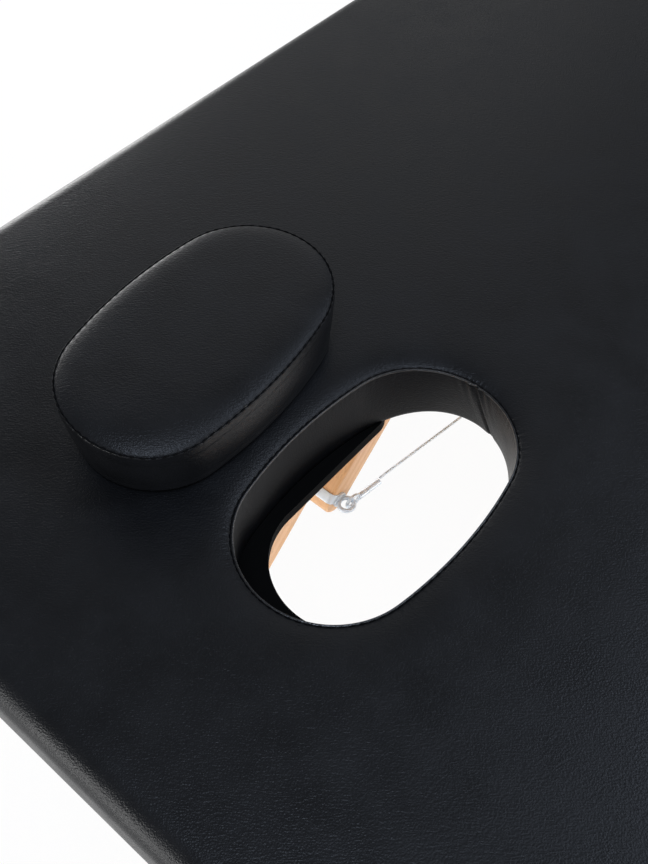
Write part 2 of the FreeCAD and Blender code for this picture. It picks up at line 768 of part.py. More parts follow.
def half_pieces(name, inset):
    """Every piece of one half that both halves have, at +X."""
    holed = name == "head"
    cover, foam, deck = pad_pieces(holed)
    odd = 0 if holed else 1
    return {
        f"{name}_cover": [cover],
        f"{name}_foam": [foam],
        f"{name}_deck": [deck],
        f"{name}_side_rails": on_both_sides(side_rail()),
        f"{name}_end_rail": [end_rail(holed)],
        f"{name}_cross_rails": [centre_rail(), brace_rail()],
        f"{name}_pivot_blocks": on_both_sides(pivot_block(inset)),
        f"{name}_frame_pivots": on_both_sides(leg_bolt(inset)) + brace_hangers(),
        f"{name}_hinge_leaves": [hinge_leaf(y, odd) for y in hinge_places()],
        f"{name}_handle": [strap_handle(handle_place)],
        f"{name}_leg_frame": leg_frame(inset),
        f"{name}_leg_hardware": leg_hardware(inset),
        f"{name}_upper_braces": on_both_sides(upper_brace()),
        f"{name}_lower_braces": on_both_sides(lower_brace()),
        f"{name}_knuckle_bolts": on_both_sides(knuckle_bolt()),
    }


def eyes_and_cables(name):
    """Knuckle rings, cable ends and cable runs; a cable keeps its level across the middle."""
    side = 1 if name == "foot" else -1
    ends = on_both_sides(eye_bolt())
    runs = []
    for place in (1, -1):
        end, run = cable_end(side * place), cable_run(side * place)
        if name == "head":
            flip = Vector(0, 1, 0)
            end, run = end.mirror(Vector(), flip), run.mirror(Vector(), flip)
        ends.append(end)
        runs.append(run)
    return {f"{name}_cable_eyes": ends, f"{name}_cables": runs}


def leg_pieces(name, inset):
    """Extensions, feet and knobs of one leg frame, each side by itself."""
    pieces = {}
    for side in ("left", "right"):
        own = {
            f"{name}_extension_{side}": leg_extension(inset),
            f"{name}_foot_{side}": rubber_foot(inset),
            f"{name}_knob_{side}_upper": clamp_knob(inset, clamp_places[0]),
            f"{name}_knob_{side}_lower": clamp_knob(inset, clamp_places[-1]),
        }
        for node, shape in own.items():
            pieces[node] = [shape if side == "left" else shape.mirror(Vector(), Y)]
    return pieces


def all_pieces():
    """Every node of the table, with its solids."""
    pieces = {}
    for name, inset in HALVES.items():
        own = {**half_pieces(name, inset), **eyes_and_cables(name), **leg_pieces(name, inset)}
        if name == "head":
            own["hole_liner"] = [hole_liner()]
            own["plug_ledge"] = [plug_ledge()]
            own["headrest_sockets"] = headrest_sockets()
            own = {node: [mirror_to_head(s) for s in solids] for node, solids in own.items()}
        pieces.update(own)
    pieces["hinge_pins"] = [hinge_pin(y) for y in hinge_places()]
    pieces["latch_plates"] = [latch_plate_piece(-x) for x in latch_places]
    pieces["latch_keepers"] = [latch_keeper(x) for x in latch_places]
    for node, x in zip(("latch_hook_inner", "latch_hook_outer"), latch_places):
        pieces[node] = [latch_hook(-x)]
    cover, foam = plug_pieces()
    pieces["plug_cover"] = [cover]
    pieces["plug_foam"] = [foam]
    return pieces


def export(node, solids):
    """Writes one node as a STEP file of its solids."""
    shape = solids[0] if len(solids) == 1 else Part.makeCompound(solids)
    if not shape.isValid():
        print("not valid:", node)
    shape.exportStep(f"parts/{node}.step")


os.makedirs("parts", exist_ok=True)
for piece_name, piece_solids in all_pieces().items():
    export(piece_name, piece_solids)
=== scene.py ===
"""Looks of a folding massage table with a face hole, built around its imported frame."""

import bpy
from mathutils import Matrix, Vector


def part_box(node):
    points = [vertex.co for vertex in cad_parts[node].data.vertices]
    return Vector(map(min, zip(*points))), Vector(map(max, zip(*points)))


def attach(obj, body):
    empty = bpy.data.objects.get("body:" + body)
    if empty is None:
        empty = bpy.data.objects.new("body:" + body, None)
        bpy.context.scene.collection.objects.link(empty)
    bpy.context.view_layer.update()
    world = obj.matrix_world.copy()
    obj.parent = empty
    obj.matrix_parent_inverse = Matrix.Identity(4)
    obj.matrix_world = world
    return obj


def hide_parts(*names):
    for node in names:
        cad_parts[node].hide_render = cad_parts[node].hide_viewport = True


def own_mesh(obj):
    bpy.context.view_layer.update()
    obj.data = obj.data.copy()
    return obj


bl_info = {
    "name": "Folding massage table",
    "version": (1, 0, 0),
    "blender": (4, 5, 0),
    "location": "View3D > Sidebar > Massage table",
    "description": "Builds the padded top, plug, cables, straps and finishes of a folding massage table",
    "category": "Object",
}

import math

import bmesh
import bpy
import numpy as np
from bpy.props import FloatProperty, FloatVectorProperty, IntProperty, PointerProperty
from mathutils import Matrix, Vector

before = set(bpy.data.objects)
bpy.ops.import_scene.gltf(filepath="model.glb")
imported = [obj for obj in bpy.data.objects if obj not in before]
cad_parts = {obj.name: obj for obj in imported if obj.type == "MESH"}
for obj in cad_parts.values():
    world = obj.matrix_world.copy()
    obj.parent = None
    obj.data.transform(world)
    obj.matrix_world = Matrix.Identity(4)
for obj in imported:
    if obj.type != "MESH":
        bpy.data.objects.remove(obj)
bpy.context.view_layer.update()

# Places and angles of the frame, in metres and radians
COVER_LOW, COVER_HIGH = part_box("head_cover")
FOOT_LOW, FOOT_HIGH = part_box("foot_cover")
LINER_LOW, LINER_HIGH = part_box("hole_liner")
PLUG_LOW, PLUG_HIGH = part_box("plug_cover")
DECK_LOW, DECK_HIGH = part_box("head_deck")
TOP = COVER_HIGH.z
HOLE_X = (LINER_LOW.x + LINER_HIGH.x) / 2
PLUG_AT = (-0.711, 0.131)
PLUG_TURN = math.radians(4.0)
LEG_BOLT_LEVEL = 0.537
SPLAY = math.radians(11.0)
BRACE_SLOPE = math.atan2(0.314121, 0.326059)
CROSSBAR_REACH = {"head": 0.2606, "foot": 0.2386}
HALVES = {"head": -1.0, "foot": 1.0}
SIDES = {"left": 1, "right": -1}

# Half length, half width and end radius of the ovals of the hole and the plug
HOLE = (0.100, 0.0615, 0.0575)
PLUG = (0.098, 0.0585, 0.0545)

# Sizes of the frame's pieces that carry new ones
STRAP_TAB = 0.034
STRAP_THICK = 0.004
LATCH_PLATE = 0.040
LATCH_THICK = 0.0025
LEG_BOLT_HEAD = 0.010
BRACE_THICK = 0.022
BRACE_WIDTH = 0.030
LATH_EDGE = 0.003

# Small forms of the padded top
SKIN = 0.0015
CLEAR = 0.0001
GROOVE_WIDTH = 0.0006
RIM_REACH = 0.040
EDGE_SPREAD = 0.035
TOP_WAVE = 0.00025
WAVE_FADE = 0.05
SIDE_DRAW, SIDE_SWELL = 0.0012, 0.0004
LINING_SWELL, LINING_LIFT = 0.0008, 0.0015
RIM_GATHER, LINING_GATHER, PLUG_GATHER = 0.0043, 0.0052, 0.0045

# Stitches: their slant, how far they stand out of a seam, and their distance from a strap's edge
STITCH_SLANT = 0.10
HOLE_STITCH_LIFT, PLUG_STITCH_LIFT = 0.0005, 0.0006
STRAP_SEAM = 0.0034

# Cables: half the height between two that cross, a strand's share of the radius, and steps in a turn
CABLE_PASS = 0.0025
STRAND_SHARE = 0.36
LAY_STEPS = 14

# The join of the lining's ends: its place round the hole, its slant, and depths and widths of its folds
JOIN_SHARE = 0.1507
JOIN_SLANT = 0.0115
CREASE_DEPTH, CREASE_WIDTH = 0.0013, 0.0011
LAP_DEPTH, LAP_WIDTH = 0.0006, 0.004
FOLD_DEPTH, FOLD_WIDTH, FOLD_PITCH = 0.0009, 0.010, 0.0033
KINK_DEPTH, KINK_WIDTH = 0.0012, 0.0025

# Small forms of the plug: its lower end, base round, roll and welt under the seam, and top panel
PLUG_LOW_END = math.radians(232.0)
PLUG_ROUND = 0.006
SEAM_ROLL = 0.0014
WELT_DROP, WELT_DEPTH, WELT_WIDTH = 0.0082, 0.0005, 0.0004
PANEL_REACH = 0.030
PLUG_SPINE = 0.0435

# Eye straps, screws and staples. Heads have radius and height from the edge inwards, a cap's as shares
EYE_STRAP = (0.009, 0.0012)
STRAP_SCREW = ((0.0042, -0.0004), (0.0042, 0.0004), (0.0035, 0.0012), (0.0021, 0.0017), (0.0019, 0.0017),
               (0.0005, 0.0009))
LATCH_SCREW = ((0.0029, -0.0004), (0.0029, 0.0001), (0.0026, 0.0002), (0.0017, 0.00025), (0.0015, 0.00025),
               (0.0004, -0.0003))
SOCKET_SCREW = ((0.0021, -0.0004), (0.0021, 0.0001), (0.0019, 0.00025), (0.0013, 0.0003), (0.0011, 0.0003),
                (0.0003, -0.0002))
BOLT_CAP = ((1.0, -0.0035), (1.0, -0.0010), (0.93, 0.0003), (0.70, 0.0011), (0.46, 0.0014), (0.44, 0.0012),
            (0.43, -0.0005))
STRAP_SCREW_RISE = 0.0065
STAPLE_WIRE = 0.00035
STAPLE_SAG = 0.0001
STAPLE_REACH = 0.0055
STAPLE_PITCH = 0.028

# Steps of the grids
HOLE_STEPS = 900
PLUG_STEPS = 720
LINING_ROLL_ROWS = 9
THREAD_SIDES = 6

# Tints of the lamps
WHITE = (1.0, 1.0, 1.0)
COOL = (0.70, 0.81, 1.0)

FINISHES = {}


class TopSettings(bpy.types.PropertyGroup):
    """Sizes of the padded top."""

    corner_radius: FloatProperty(name="Corner radius", default=0.030, unit="LENGTH",
                                 description="Radius of the pad's corners seen from above")
    edge_radius: FloatProperty(name="Edge roll", default=0.018, unit="LENGTH",
                               description="Radius of the rolled edge of the pad")
    edge_drop: FloatProperty(name="Edge drop", default=0.0016, unit="LENGTH",
                             description="How far the top falls towards its edges")
    rim_drop: FloatProperty(name="Rim drop", default=0.0040, unit="LENGTH",
                            description="How far the seam pulls the top down around the face hole")
    rim_spread: FloatProperty(name="Rim spread", default=0.0080, unit="LENGTH",
                              description="Width over which the top slopes down to the seam")
    groove: FloatProperty(name="Seam groove", default=0.0007, unit="LENGTH",
                          description="Depth of the groove along a seam")
    groove_inset: FloatProperty(name="Seam inset", default=0.0007, unit="LENGTH",
                                description="Distance of a seam's groove from the edge beside it")
    pucker_depth: FloatProperty(name="Pucker depth", default=0.00011, unit="LENGTH",
                                description="Height of the small gathers along a seam")
    lining_roll: FloatProperty(name="Lining roll", default=0.0008, unit="LENGTH",
                               description="How far the lining's rolled top stands into the hole")
    lining_lean: FloatProperty(name="Lining lean", default=0.0120, unit="LENGTH",
                               description="How far the lining leans back at the hole's inner end")
    lip_width: FloatProperty(name="Lip", default=0.014, unit="LENGTH",
                             description="Width of the cover's edge turned under the deck")


class PlugSettings(bpy.types.PropertyGroup):
    """Sizes of the loose plug cushion."""

    seam_height: FloatProperty(name="Seam height", default=0.0475, unit="LENGTH",
                               description="Height of the stitched seam above the plug's base")
    seam_dip: FloatProperty(name="Seam dip", default=0.0050, unit="LENGTH",
                            description="How far the seam runs lower at one end of the plug")
    swell: FloatProperty(name="Swell", default=0.0030, unit="LENGTH",
                         description="How far the plug swells out at that end")
    crown_spread: FloatProperty(name="Crown spread", default=0.010, unit="LENGTH",
                                description="Width over which the top panel rises from the seam")
    draw_in: FloatProperty(name="Draw-in", default=0.005, unit="LENGTH",
                           description="How far the side draws in at the base")


class LeatherSettings(bpy.types.PropertyGroup):
    """Finish of the black cover."""

    colour: FloatVectorProperty(name="Leather colour", description="Colour of the cover", subtype="COLOR",
                                size=4, min=0, max=1, default=(0.0040, 0.0043, 0.0051, 1))
    worn_colour: FloatVectorProperty(name="Leather, lighter", description="Lighter mottling of the cover",
                                     subtype="COLOR", size=4, min=0, max=1,
                                     default=(0.0056, 0.0060, 0.0071, 1))
    grain: FloatProperty(name="Grain", default=0.0011, unit="LENGTH",
                         description="Width of a pebble of the leather's grain")
    grain_depth: FloatProperty(name="Grain depth", default=0.00030, unit="LENGTH",
                               description="Depth of the leather's grain")
    thread_colour: FloatVectorProperty(name="Thread colour", description="Colour of the stitches",
                                       subtype="COLOR", size=4, min=0, max=1,
                                       default=(0.0012, 0.0012, 0.0015, 1))
    stitch_length: FloatProperty(name="Stitch length", default=0.0042, unit="LENGTH",
                                 description="Length of one stitch")
    stitch_pitch: FloatProperty(name="Stitch pitch", default=0.0058, unit="LENGTH",
                                description="Distance from one stitch to the next")
    stitch_width: FloatProperty(name="Thread width", default=0.0011, unit="LENGTH",
                                description="Width of the sewing thread")


class FrameSettings(bpy.types.PropertyGroup):
    """Finishes of the beech frame and of its metal."""

    beech: FloatVectorProperty(name="Beech", description="Light tone of the beech", subtype="COLOR", size=4,
                               min=0, max=1, default=(0.83, 0.52, 0.285, 1))
    beech_late: FloatVectorProperty(name="Beech, late wood", description="Darker growth bands of the beech",
                                    subtype="COLOR", size=4, min=0, max=1, default=(0.74, 0.42, 0.20, 1))
    beech_fleck: FloatVectorProperty(name="Beech flecks", description="Short dark flecks of the beech",
                                     subtype="COLOR", size=4, min=0, max=1, default=(0.42, 0.21, 0.10, 1))
    zinc: FloatVectorProperty(name="Zinc", description="Colour of the plated steel", subtype="COLOR", size=4,
                              min=0, max=1, default=(0.57, 0.59, 0.61, 1))
    wire: FloatVectorProperty(name="Cable steel", description="Colour of the cables, their eyes and straps",
                              subtype="COLOR", size=4, min=0, max=1, default=(0.74, 0.82, 0.88, 1))
    cable_diameter: FloatProperty(name="Cable", default=0.0025, unit="LENGTH",
                                  description="Diameter of the steel cables")
    cable_lay: FloatProperty(name="Cable lay", default=0.020, unit="LENGTH",
                             description="Length in which a strand turns once")
    strands: IntProperty(name="Strands", description="Outer strands of a cable", default=6, min=3, max=12)


class StageSettings(bpy.types.PropertyGroup):
    """Camera, light and floor."""

    lens: FloatProperty(name="Lens", default=41.67, subtype="DISTANCE_CAMERA",
                        description="Focal length for a frame 36 mm high")
    eye: FloatVectorProperty(name="Camera", description="Place of the camera", subtype="TRANSLATION",
                             unit="LENGTH", default=(-0.9742, -0.1786, 1.1054))
    yaw: FloatProperty(name="Yaw", default=math.radians(38.94), subtype="ANGLE",
                       description="Heading of the view, from +X towards +Y")
    pitch: FloatProperty(name="Pitch", default=math.radians(53.39), subtype="ANGLE",
                         description="How far the view points down")
    roll: FloatProperty(name="Roll", default=math.radians(1.64), subtype="ANGLE",
                        description="Turn of the picture")
    floor_colour: FloatVectorProperty(name="Floor", description="Colour of the floor", subtype="COLOR",
                                      size=4, min=0, max=1, default=(0.88, 0.88, 0.89, 1))
    floor_glow: FloatProperty(name="Floor white", default=0.92, min=0, max=1, subtype="FACTOR",
                              description="Share of plain white that the camera sees on the floor")
    ambient: FloatProperty(name="Ambient", default=0.34,
                           description="Strength of the soft light from all round")


SETTINGS = {"massage_top": TopSettings, "massage_plug": PlugSettings, "massage_leather": LeatherSettings,
            "massage_frame": FrameSettings, "massage_stage": StageSettings}


def circle(count):
    """Angles at even steps round a circle."""
    return np.arange(count) / count * 2 * math.pi


def bell(away, width):
    """A bell curve: e to the minus square of a distance over a width."""
    return np.exp(-(away / width)**2)


def fade(away, width):
    """A fall from one towards nothing: e to the minus distance over a width."""
    return np.exp(-away / width)


def unit(vectors):
    """Vectors divided by their length."""
    return vectors / np.linalg.norm(vectors, axis=-1, keepdims=True)


def grid_points(x, y, z):
    """Points of a grid from its coordinates, each of them one value, a row, a column or a whole grid."""
    return np.stack(np.broadcast_arrays(x, y, z), -1)


def at_level(xy, level):
    """A row of flat points lifted to one level, or each to its own."""
    return np.column_stack([xy, np.broadcast_to(level, len(xy))])


def grid_faces(rows, cols, close_rows=False):
    """Quads of a grid of closed rows: each joins two neighbours in a row to the same two in the next row."""
    r = np.arange(rows if close_rows else rows - 1)[:, None]
    c = np.arange(cols)[None, :]
    after = (c + 1) % cols
    below = (r + 1) % rows
    corners = [r * cols + c, r * cols + after, below * cols + after, below * cols + c]
    return np.stack(np.broadcast_arrays(*corners), -1).reshape(-1, 4)


def flat_section(wide, thick, count, power):
    """A flattened round section: half its width and thickness times powers of cosine and sine."""
    cos, sin = np.cos(circle(count)), np.sin(circle(count))
    across = wide / 2 * np.sign(cos) * np.abs(cos)**0.25
    return across, thick / 2 * np.sign(sin) * np.abs(sin)**power


def lay_mesh(name, points, faces, material, caps=()):
    """A smooth mesh object at the origin from points and quads, with flat caps, its faces turned outwards."""
    mesh = bpy.data.meshes.new(name)
    points = np.asarray(points, float).reshape(-1, 3)
    mesh.from_pydata(points.tolist(), [], faces.tolist() + [cap.tolist() for cap in caps])
    work = bmesh.new()
    work.from_mesh(mesh)
    bmesh.ops.recalc_face_normals(work, faces=work.faces)
    work.to_mesh(mesh)
    work.free()
    mesh.polygons.foreach_set("use_smooth", np.ones(len(mesh.polygons), bool))
    mesh.materials.append(material)
    piece = bpy.data.objects.new(name, mesh)
    bpy.context.scene.collection.objects.link(piece)
    return piece


def lay_loop(name, rows, material):
    """A skin of closed rows whose last row joins the first."""
    return lay_mesh(name, rows, grid_faces(*rows.shape[:2], close_rows=True), material)


def lay_tube(name, rows, material):
    """A skin of closed rows with a flat cap on its first and on its last row."""
    caps = copy_caps(1, rows.shape[0] * rows.shape[1], rows.shape[1])
    return lay_mesh(name, rows, grid_faces(*rows.shape[:2]), material, caps)


def copy_caps(copies, size, ring):
    """The first and the last ring of each copy of a shape, as caps."""
    first = np.arange(copies)[:, None] * size + np.arange(ring)
    return [*first, *(first + size - ring)]


def repeat_shape(points, faces, places, along, across, up):
    """One small shape at many places: place + x along + y across + z up, its faces counted on by copy."""
    x, y, z = (points[None, :, i, None] for i in range(3))
    copies = places[:, None] + x * along[:, None] + y * across[:, None] + z * up[:, None]
    shift = (np.arange(len(places)) * len(points))[:, None, None]
    return copies.reshape(-1, 3), (faces[None] + shift).reshape(-1, faces.shape[1])


def oval_arcs(shape):
    """Of a four-arc oval: the end centres' distance, the side arcs' radius, and the angle where arcs join."""
    long, short, end = shape
    centre = long - end
    side = (centre**2 + short**2 - end**2) / (2 * (short - end))
    return centre, side, math.atan2(centre, side - short)


def oval_angles(shape, count):
    """Normal angles at even steps along an oval: on each arc the angle grows in step with the length."""
    _, side, join = oval_arcs(shape)
    end = math.pi / 2 - join
    knots = [-end, end, math.pi - end, math.pi + end, 2 * math.pi - end]
    lengths = np.cumsum([0, 2 * end * shape[2], 2 * join * side, 2 * end * shape[2], 2 * join * side])
    return np.interp(np.arange(count) / count * lengths[-1], lengths, knots), lengths[-1]


def oval_points(shape, angle, grow=0.0):
    """Points of an oval grown by a width: an arc's centre plus its radius and the width along the normal."""
    centre, side, join = oval_arcs(shape)
    cos, sin = np.cos(angle), np.sin(angle)
    at_end = np.abs(sin) <= math.cos(join) + 1e-9
    x = np.where(at_end, np.sign(cos) * centre + (shape[2] + grow) * cos, (side + grow) * cos)
    y = np.where(at_end, (shape[2] + grow) * sin, np.sign(sin) * (shape[1] - side) + (side + grow) * sin)
    return np.stack([x, y], -1)


def hole_row(angle, grow, level):
    """A row of points round the face hole, grown by some width, at some level."""
    return at_level(oval_points(HOLE, angle, grow) + (HOLE_X, 0), level)


def outline_points(low, high, radius, share):
    """A rectangle with round corners at shares of its length: a circle's point, the circle's centre running
    from corner to corner while its angle stands still, and standing still while the angle turns a quarter."""
    x0, x1 = low[0] + radius, high[0] - radius
    y0, y1 = low[1] + radius, high[1] - radius
    quarter = math.pi / 2 * radius
    knots = np.cumsum([0] + [y1 - y0, quarter, x1 - x0, quarter] * 2)
    at = np.mod(share, 1.0) * knots[-1]
    turn = np.interp(at, knots, np.array([0, 0, 1, 1, 2, 2, 3, 3, 4]) * math.pi / 2)
    x = np.interp(at, knots, [x1, x1, x1, x0, x0, x0, x0, x1, x1])
    y = np.interp(at, knots, [y0, y1, y1, y1, y1, y0, y0, y0, y0])
    normal = np.stack([np.cos(turn), np.sin(turn)], -1)
    return np.stack([x, y], -1) + radius * normal, normal


def round_values(polar, knots, values, turn):
    """Values at polar angles on a closed line, its knots carried on by one turn on both sides."""
    around = np.concatenate([knots - 2 * math.pi, knots, knots + 2 * math.pi])
    return np.interp(polar, around, np.concatenate([values - turn, values, values + turn]))


def gathers(length, pitch, seed):
    """Small uneven waves along a seam: three sines of unlike wavelengths, added and averaged."""
    total = np.zeros_like(length)
    for i, ratio in enumerate((1.0, 0.71, 1.43)):
        total += np.sin(length / (pitch * ratio) * 2 * math.pi + seed * (i + 1.7))
    return total / 3


def pad_edge(top):
    """Profile of the pad's outer edge as inset and height: a quarter round, a side that swells a little, the
    lip turned under the deck, and back along the deck to the pad's base."""
    turn = np.linspace(0, math.pi / 2, 12)
    roll = np.stack([top.edge_radius * (1 - np.sin(turn)),
                     TOP - top.edge_drop - top.edge_radius * (1 - np.cos(turn))], -1)
    rise = np.linspace(roll[-1, 1], COVER_LOW.z + 0.002, 9)[1:]
    down = (roll[-1, 1] - rise) / (roll[-1, 1] - COVER_LOW.z)
    side = np.stack([SIDE_DRAW * down**2 - SIDE_SWELL * np.sin(math.pi * down), rise], -1)
    under = DECK_LOW.z - CLEAR
    lip = np.array([[0.0014, COVER_LOW.z + 0.0008], [0.0024, COVER_LOW.z], [top.lip_width * 0.5, COVER_LOW.z],
                    [top.lip_width, COVER_LOW.z], [top.lip_width, under], [SKIN, under],
                    [SKIN - CLEAR, DECK_HIGH.z + CLEAR]])
    return np.concatenate([roll, side, lip])


def top_row(top, xy, edge):
    """A row of the flat top: a fall that fades away from the edge, and a faint wave of two sines."""
    away = np.hypot(*(xy - edge).T)
    wave = np.sin(xy[:, 0] * 21 + 1.0) * np.sin(xy[:, 1] * 17 + 0.4) * np.clip(away / WAVE_FADE, 0, 1)
    return at_level(xy, TOP - top.edge_drop * fade(away, EDGE_SPREAD) + TOP_WAVE * wave)


def head_pad_surface(top):
    """The head half's pad round its hole. Rays from the hole's middle cross the oval and the outline; the
    rows run from the seam up the sloping rim, across the flat top, down the edge, and back to the seam."""
    share = np.arange(6000) / 6000
    dense, _ = oval_angles(HOLE, len(share))
    ring = oval_points(HOLE, dense)
    ring_polar = np.unwrap(np.arctan2(ring[:, 1], ring[:, 0]))
    edge, _ = outline_points(COVER_LOW, COVER_HIGH, top.corner_radius, share)
    edge_polar = np.unwrap(np.arctan2(edge[:, 1], edge[:, 0] - HOLE_X))
    fine = np.concatenate([ring_polar[::10], edge_polar[::12]])
    polar = np.unique(np.round(np.mod(fine, 2 * math.pi), 5))
    angle = round_values(polar, ring_polar, dense, 2 * math.pi)
    share = round_values(polar, edge_polar, share, 1)
    outer, normal = outline_points(COVER_LOW, COVER_HIGH, top.corner_radius, share)

    grow = top.groove_inset + RIM_REACH * np.linspace(0, 1, 32)**2.4
    away = grow - top.groove_inset
    height = TOP - top.rim_drop * fade(away, top.rim_spread) - top.groove * fade(away, GROOVE_WIDTH)
    seam = hole_row(angle, grow[0], 0.0)
    run = np.hypot(*np.diff(seam[:, :2], axis=0, prepend=seam[-1:, :2]).T).cumsum()
    pucker = gathers(run, RIM_GATHER, 1.0)
    gathered = top.pucker_depth * bell(grow - 0.0022, 0.0035)
    rows = [hole_row(angle, g, z + depth * pucker) for g, z, depth in zip(grow, height, gathered)]

    profile = pad_edge(top)
    rim, start = rows[-1][:, :2], outer - normal * profile[0, 0]
    rows += [top_row(top, rim * (1 - mix) + start * mix, start) for mix in np.linspace(0, 1, 15)[1:-1]**1.25]
    rows += [at_level(outer - normal * inset, z) for inset, z in profile]
    base = DECK_HIGH.z + CLEAR
    for part in (1.0, 0.5, 0.02):
        back = top.groove_inset + lining_lean(top, angle, part) + CLEAR
        rows.append(hole_row(angle, back, base + (seam_height(top) - base) * (1 - part)))
    return np.array(rows)


def foot_pad_surface(top):
    """The foot half's pad: the same edge carried round the outline, and rows that shrink to a middle line."""
    outer, normal = outline_points(FOOT_LOW, FOOT_HIGH, top.corner_radius, np.arange(900) / 900)
    profile = pad_edge(top)
    start = outer - normal * profile[0, 0]
    middle = (FOOT_LOW.x + FOOT_HIGH.x) / 2
    spine = np.column_stack([np.clip(start[:, 0] - middle, -0.1, 0.1) + middle, np.zeros(len(start))])
    shares = np.linspace(0.02, 1, 16)[:-1]**0.8
    rows = [top_row(top, spine * (1 - mix) + start * mix, start) for mix in shares]
    return np.array(rows + [at_level(outer - normal * inset, z) for inset, z in profile])


def seam_height(top):
    """Level of the seam between the cover and the lining of the face hole."""
    return TOP - top.rim_drop - top.groove


def inner_end(angle):
    """Share of the hole's inner end: the cube of the angle's cosine, and nothing at the other end."""
    return np.clip(np.cos(angle), 0, None)**3


def lining_lean(top, angle, part):
    """How far the lining stands back at a part of its depth: most at the hole's inner end and low down."""
    return top.lining_lean * inner_end(angle) * part**1.2


def from_join(run, length, part):
    """Distance along the lining from the join of its ends, which slants back a little with the depth."""
    return (run - JOIN_SHARE * length + JOIN_SLANT * part + length / 2) % length - length / 2


def lining_surface(top):
    """The face hole's lining: out of the seam's groove, over a narrow roll, down a wall that swells a little
    inwards to the deck's underside, and back up behind it, carried round the oval. Its ends join in a crease,
    a lap and a few folds that fade with the distance from the join."""
    angle, length = oval_angles(HOLE, HOLE_STEPS)
    seam_z = seam_height(top)
    roll_rise = top.groove * 1.2
    run = np.arange(HOLE_STEPS) / HOLE_STEPS * length
    pucker = gathers(run, LINING_GATHER, 2.3)
    crease = CREASE_DEPTH * bell(from_join(run, length, 0.0), CREASE_WIDTH)
    bottom = LINER_LOW.z + LINING_LIFT * inner_end(angle)
    rows = []
    for turn in np.linspace(0, math.pi * 0.8, LINING_ROLL_ROWS):
        part = 0.5 - 0.5 * math.cos(turn / 0.8)
        grow = top.groove_inset * (1 - part) - top.lining_roll * part + crease * turn / 3
        rows.append(hole_row(angle, grow, seam_z + roll_rise * math.sin(turn)))
    start = rows[-1][0, 2]
    for d in np.linspace(0, 1, 30)[1:]**1.2:
        away = from_join(run, length, d)
        crease = CREASE_DEPTH * bell(away, CREASE_WIDTH)
        lap = LAP_DEPTH * fade(np.clip(away, 0, None), LAP_WIDTH) * (away > 0)
        folds = FOLD_DEPTH * bell(away, FOLD_WIDTH) * np.sin(away / FOLD_PITCH * math.pi)
        grow = -LINING_SWELL * math.sin(math.pi * d)**0.7 - top.lining_roll * (1 - d)**2 + crease - lap
        grow += folds * fade(d, 0.22) + top.pucker_depth * bell(d, 0.12) * pucker + lining_lean(top, angle, d)
        kink = KINK_DEPTH * bell(away, KINK_WIDTH) * max(0.0, (d - 0.9) / 0.1)
        rows.append(hole_row(angle, grow, start + (bottom - start) * d + kink))
    for d in (1.0, 0.5, 0.02):
        back = top.groove_inset + lining_lean(top, angle, d)
        rows.append(hole_row(angle, back, seam_z + (bottom - seam_z) * d))
    return np.array(rows), length


def plug_seam(plug, angle):
    """Height of the plug's seam, lower at one end, and that end's share: a raised cosine's sixth power."""
    share = (0.5 + 0.5 * np.cos(angle - PLUG_LOW_END))**6
    return plug.seam_height - plug.seam_dip * share, share


def plug_rows(plug, top):
    """The plug cushion on its oval: base, side drawn in below and slightly swollen with a small welt, seam
    groove near the top, and a top panel that rises from the seam and levels out. Each row is the oval grown
    by some width at some heights, and the last rows shrink towards a middle line."""
    angle, length = oval_angles(PLUG, PLUG_STEPS)
    height = PLUG_HIGH.z - PLUG_LOW.z
    seam, share = plug_seam(plug, angle)
    spread = plug.crown_spread * (0.55 + 0.70 * share)
    draw_in = plug.draw_in * (1 - 0.7 * (0.5 - 0.5 * np.sin(angle))**2)
    side = seam - SEAM_ROLL
    turn = np.linspace(0, math.pi / 2, 8)[:, None]
    up = np.linspace(0, 1, 26)[1:, None]
    over = np.linspace(0, math.pi * 0.85, 9)[1:, None]
    inset = PANEL_REACH * np.linspace(0, 1, 26)[:, None]**2.0
    wall = PLUG_ROUND + (plug.seam_height - SEAM_ROLL - PLUG_ROUND) * up
    welt = WELT_DEPTH / (1 + np.exp((plug.seam_height - WELT_DROP - wall) / WELT_WIDTH)) - WELT_DEPTH
    stretches = (
        (-draw_in - PLUG_ROUND * (1 - np.sin(turn)), PLUG_ROUND * (1 - np.cos(turn))),
        (-draw_in * (1 - up)**1.6 + SIDE_SWELL * np.sin(math.pi * up) + welt,
         PLUG_ROUND + (side - PLUG_ROUND) * up),
        (-top.groove_inset * (0.5 - 0.5 * np.cos(over / 0.85)), side + SEAM_ROLL * np.sin(over)),
        (-top.groove_inset - 0.0002 - inset,
         seam + (height - seam) * (1 - fade(inset, spread)) - top.groove * fade(inset, GROOVE_WIDTH)))
    grow, level = (np.concatenate(part) for part in zip(*(np.broadcast_arrays(*pair) for pair in stretches)))
    pucker = top.pucker_depth * gathers(np.arange(PLUG_STEPS) / PLUG_STEPS * length, PLUG_GATHER, 4.1)
    wide = grow + pucker * bell(level - seam, 0.0022) + plug.swell * share * np.minimum(level / seam, 1)**1.5
    rows = [at_level(oval_points(PLUG, angle, w), z) for w, z in zip(wide, level)]
    rim, rim_level = rows[-1][:, :2], rows[-1][:, 2]
    spine = np.clip(rim[:, :1], -PLUG_SPINE, PLUG_SPINE) * (1, 0)
    rows += [at_level(spine + (rim - spine) * k, rim_level + (height - rim_level) * (1 - k**2.2))
             for k in np.linspace(1, 0.03, 14)[1:]]
    return np.array(rows), angle


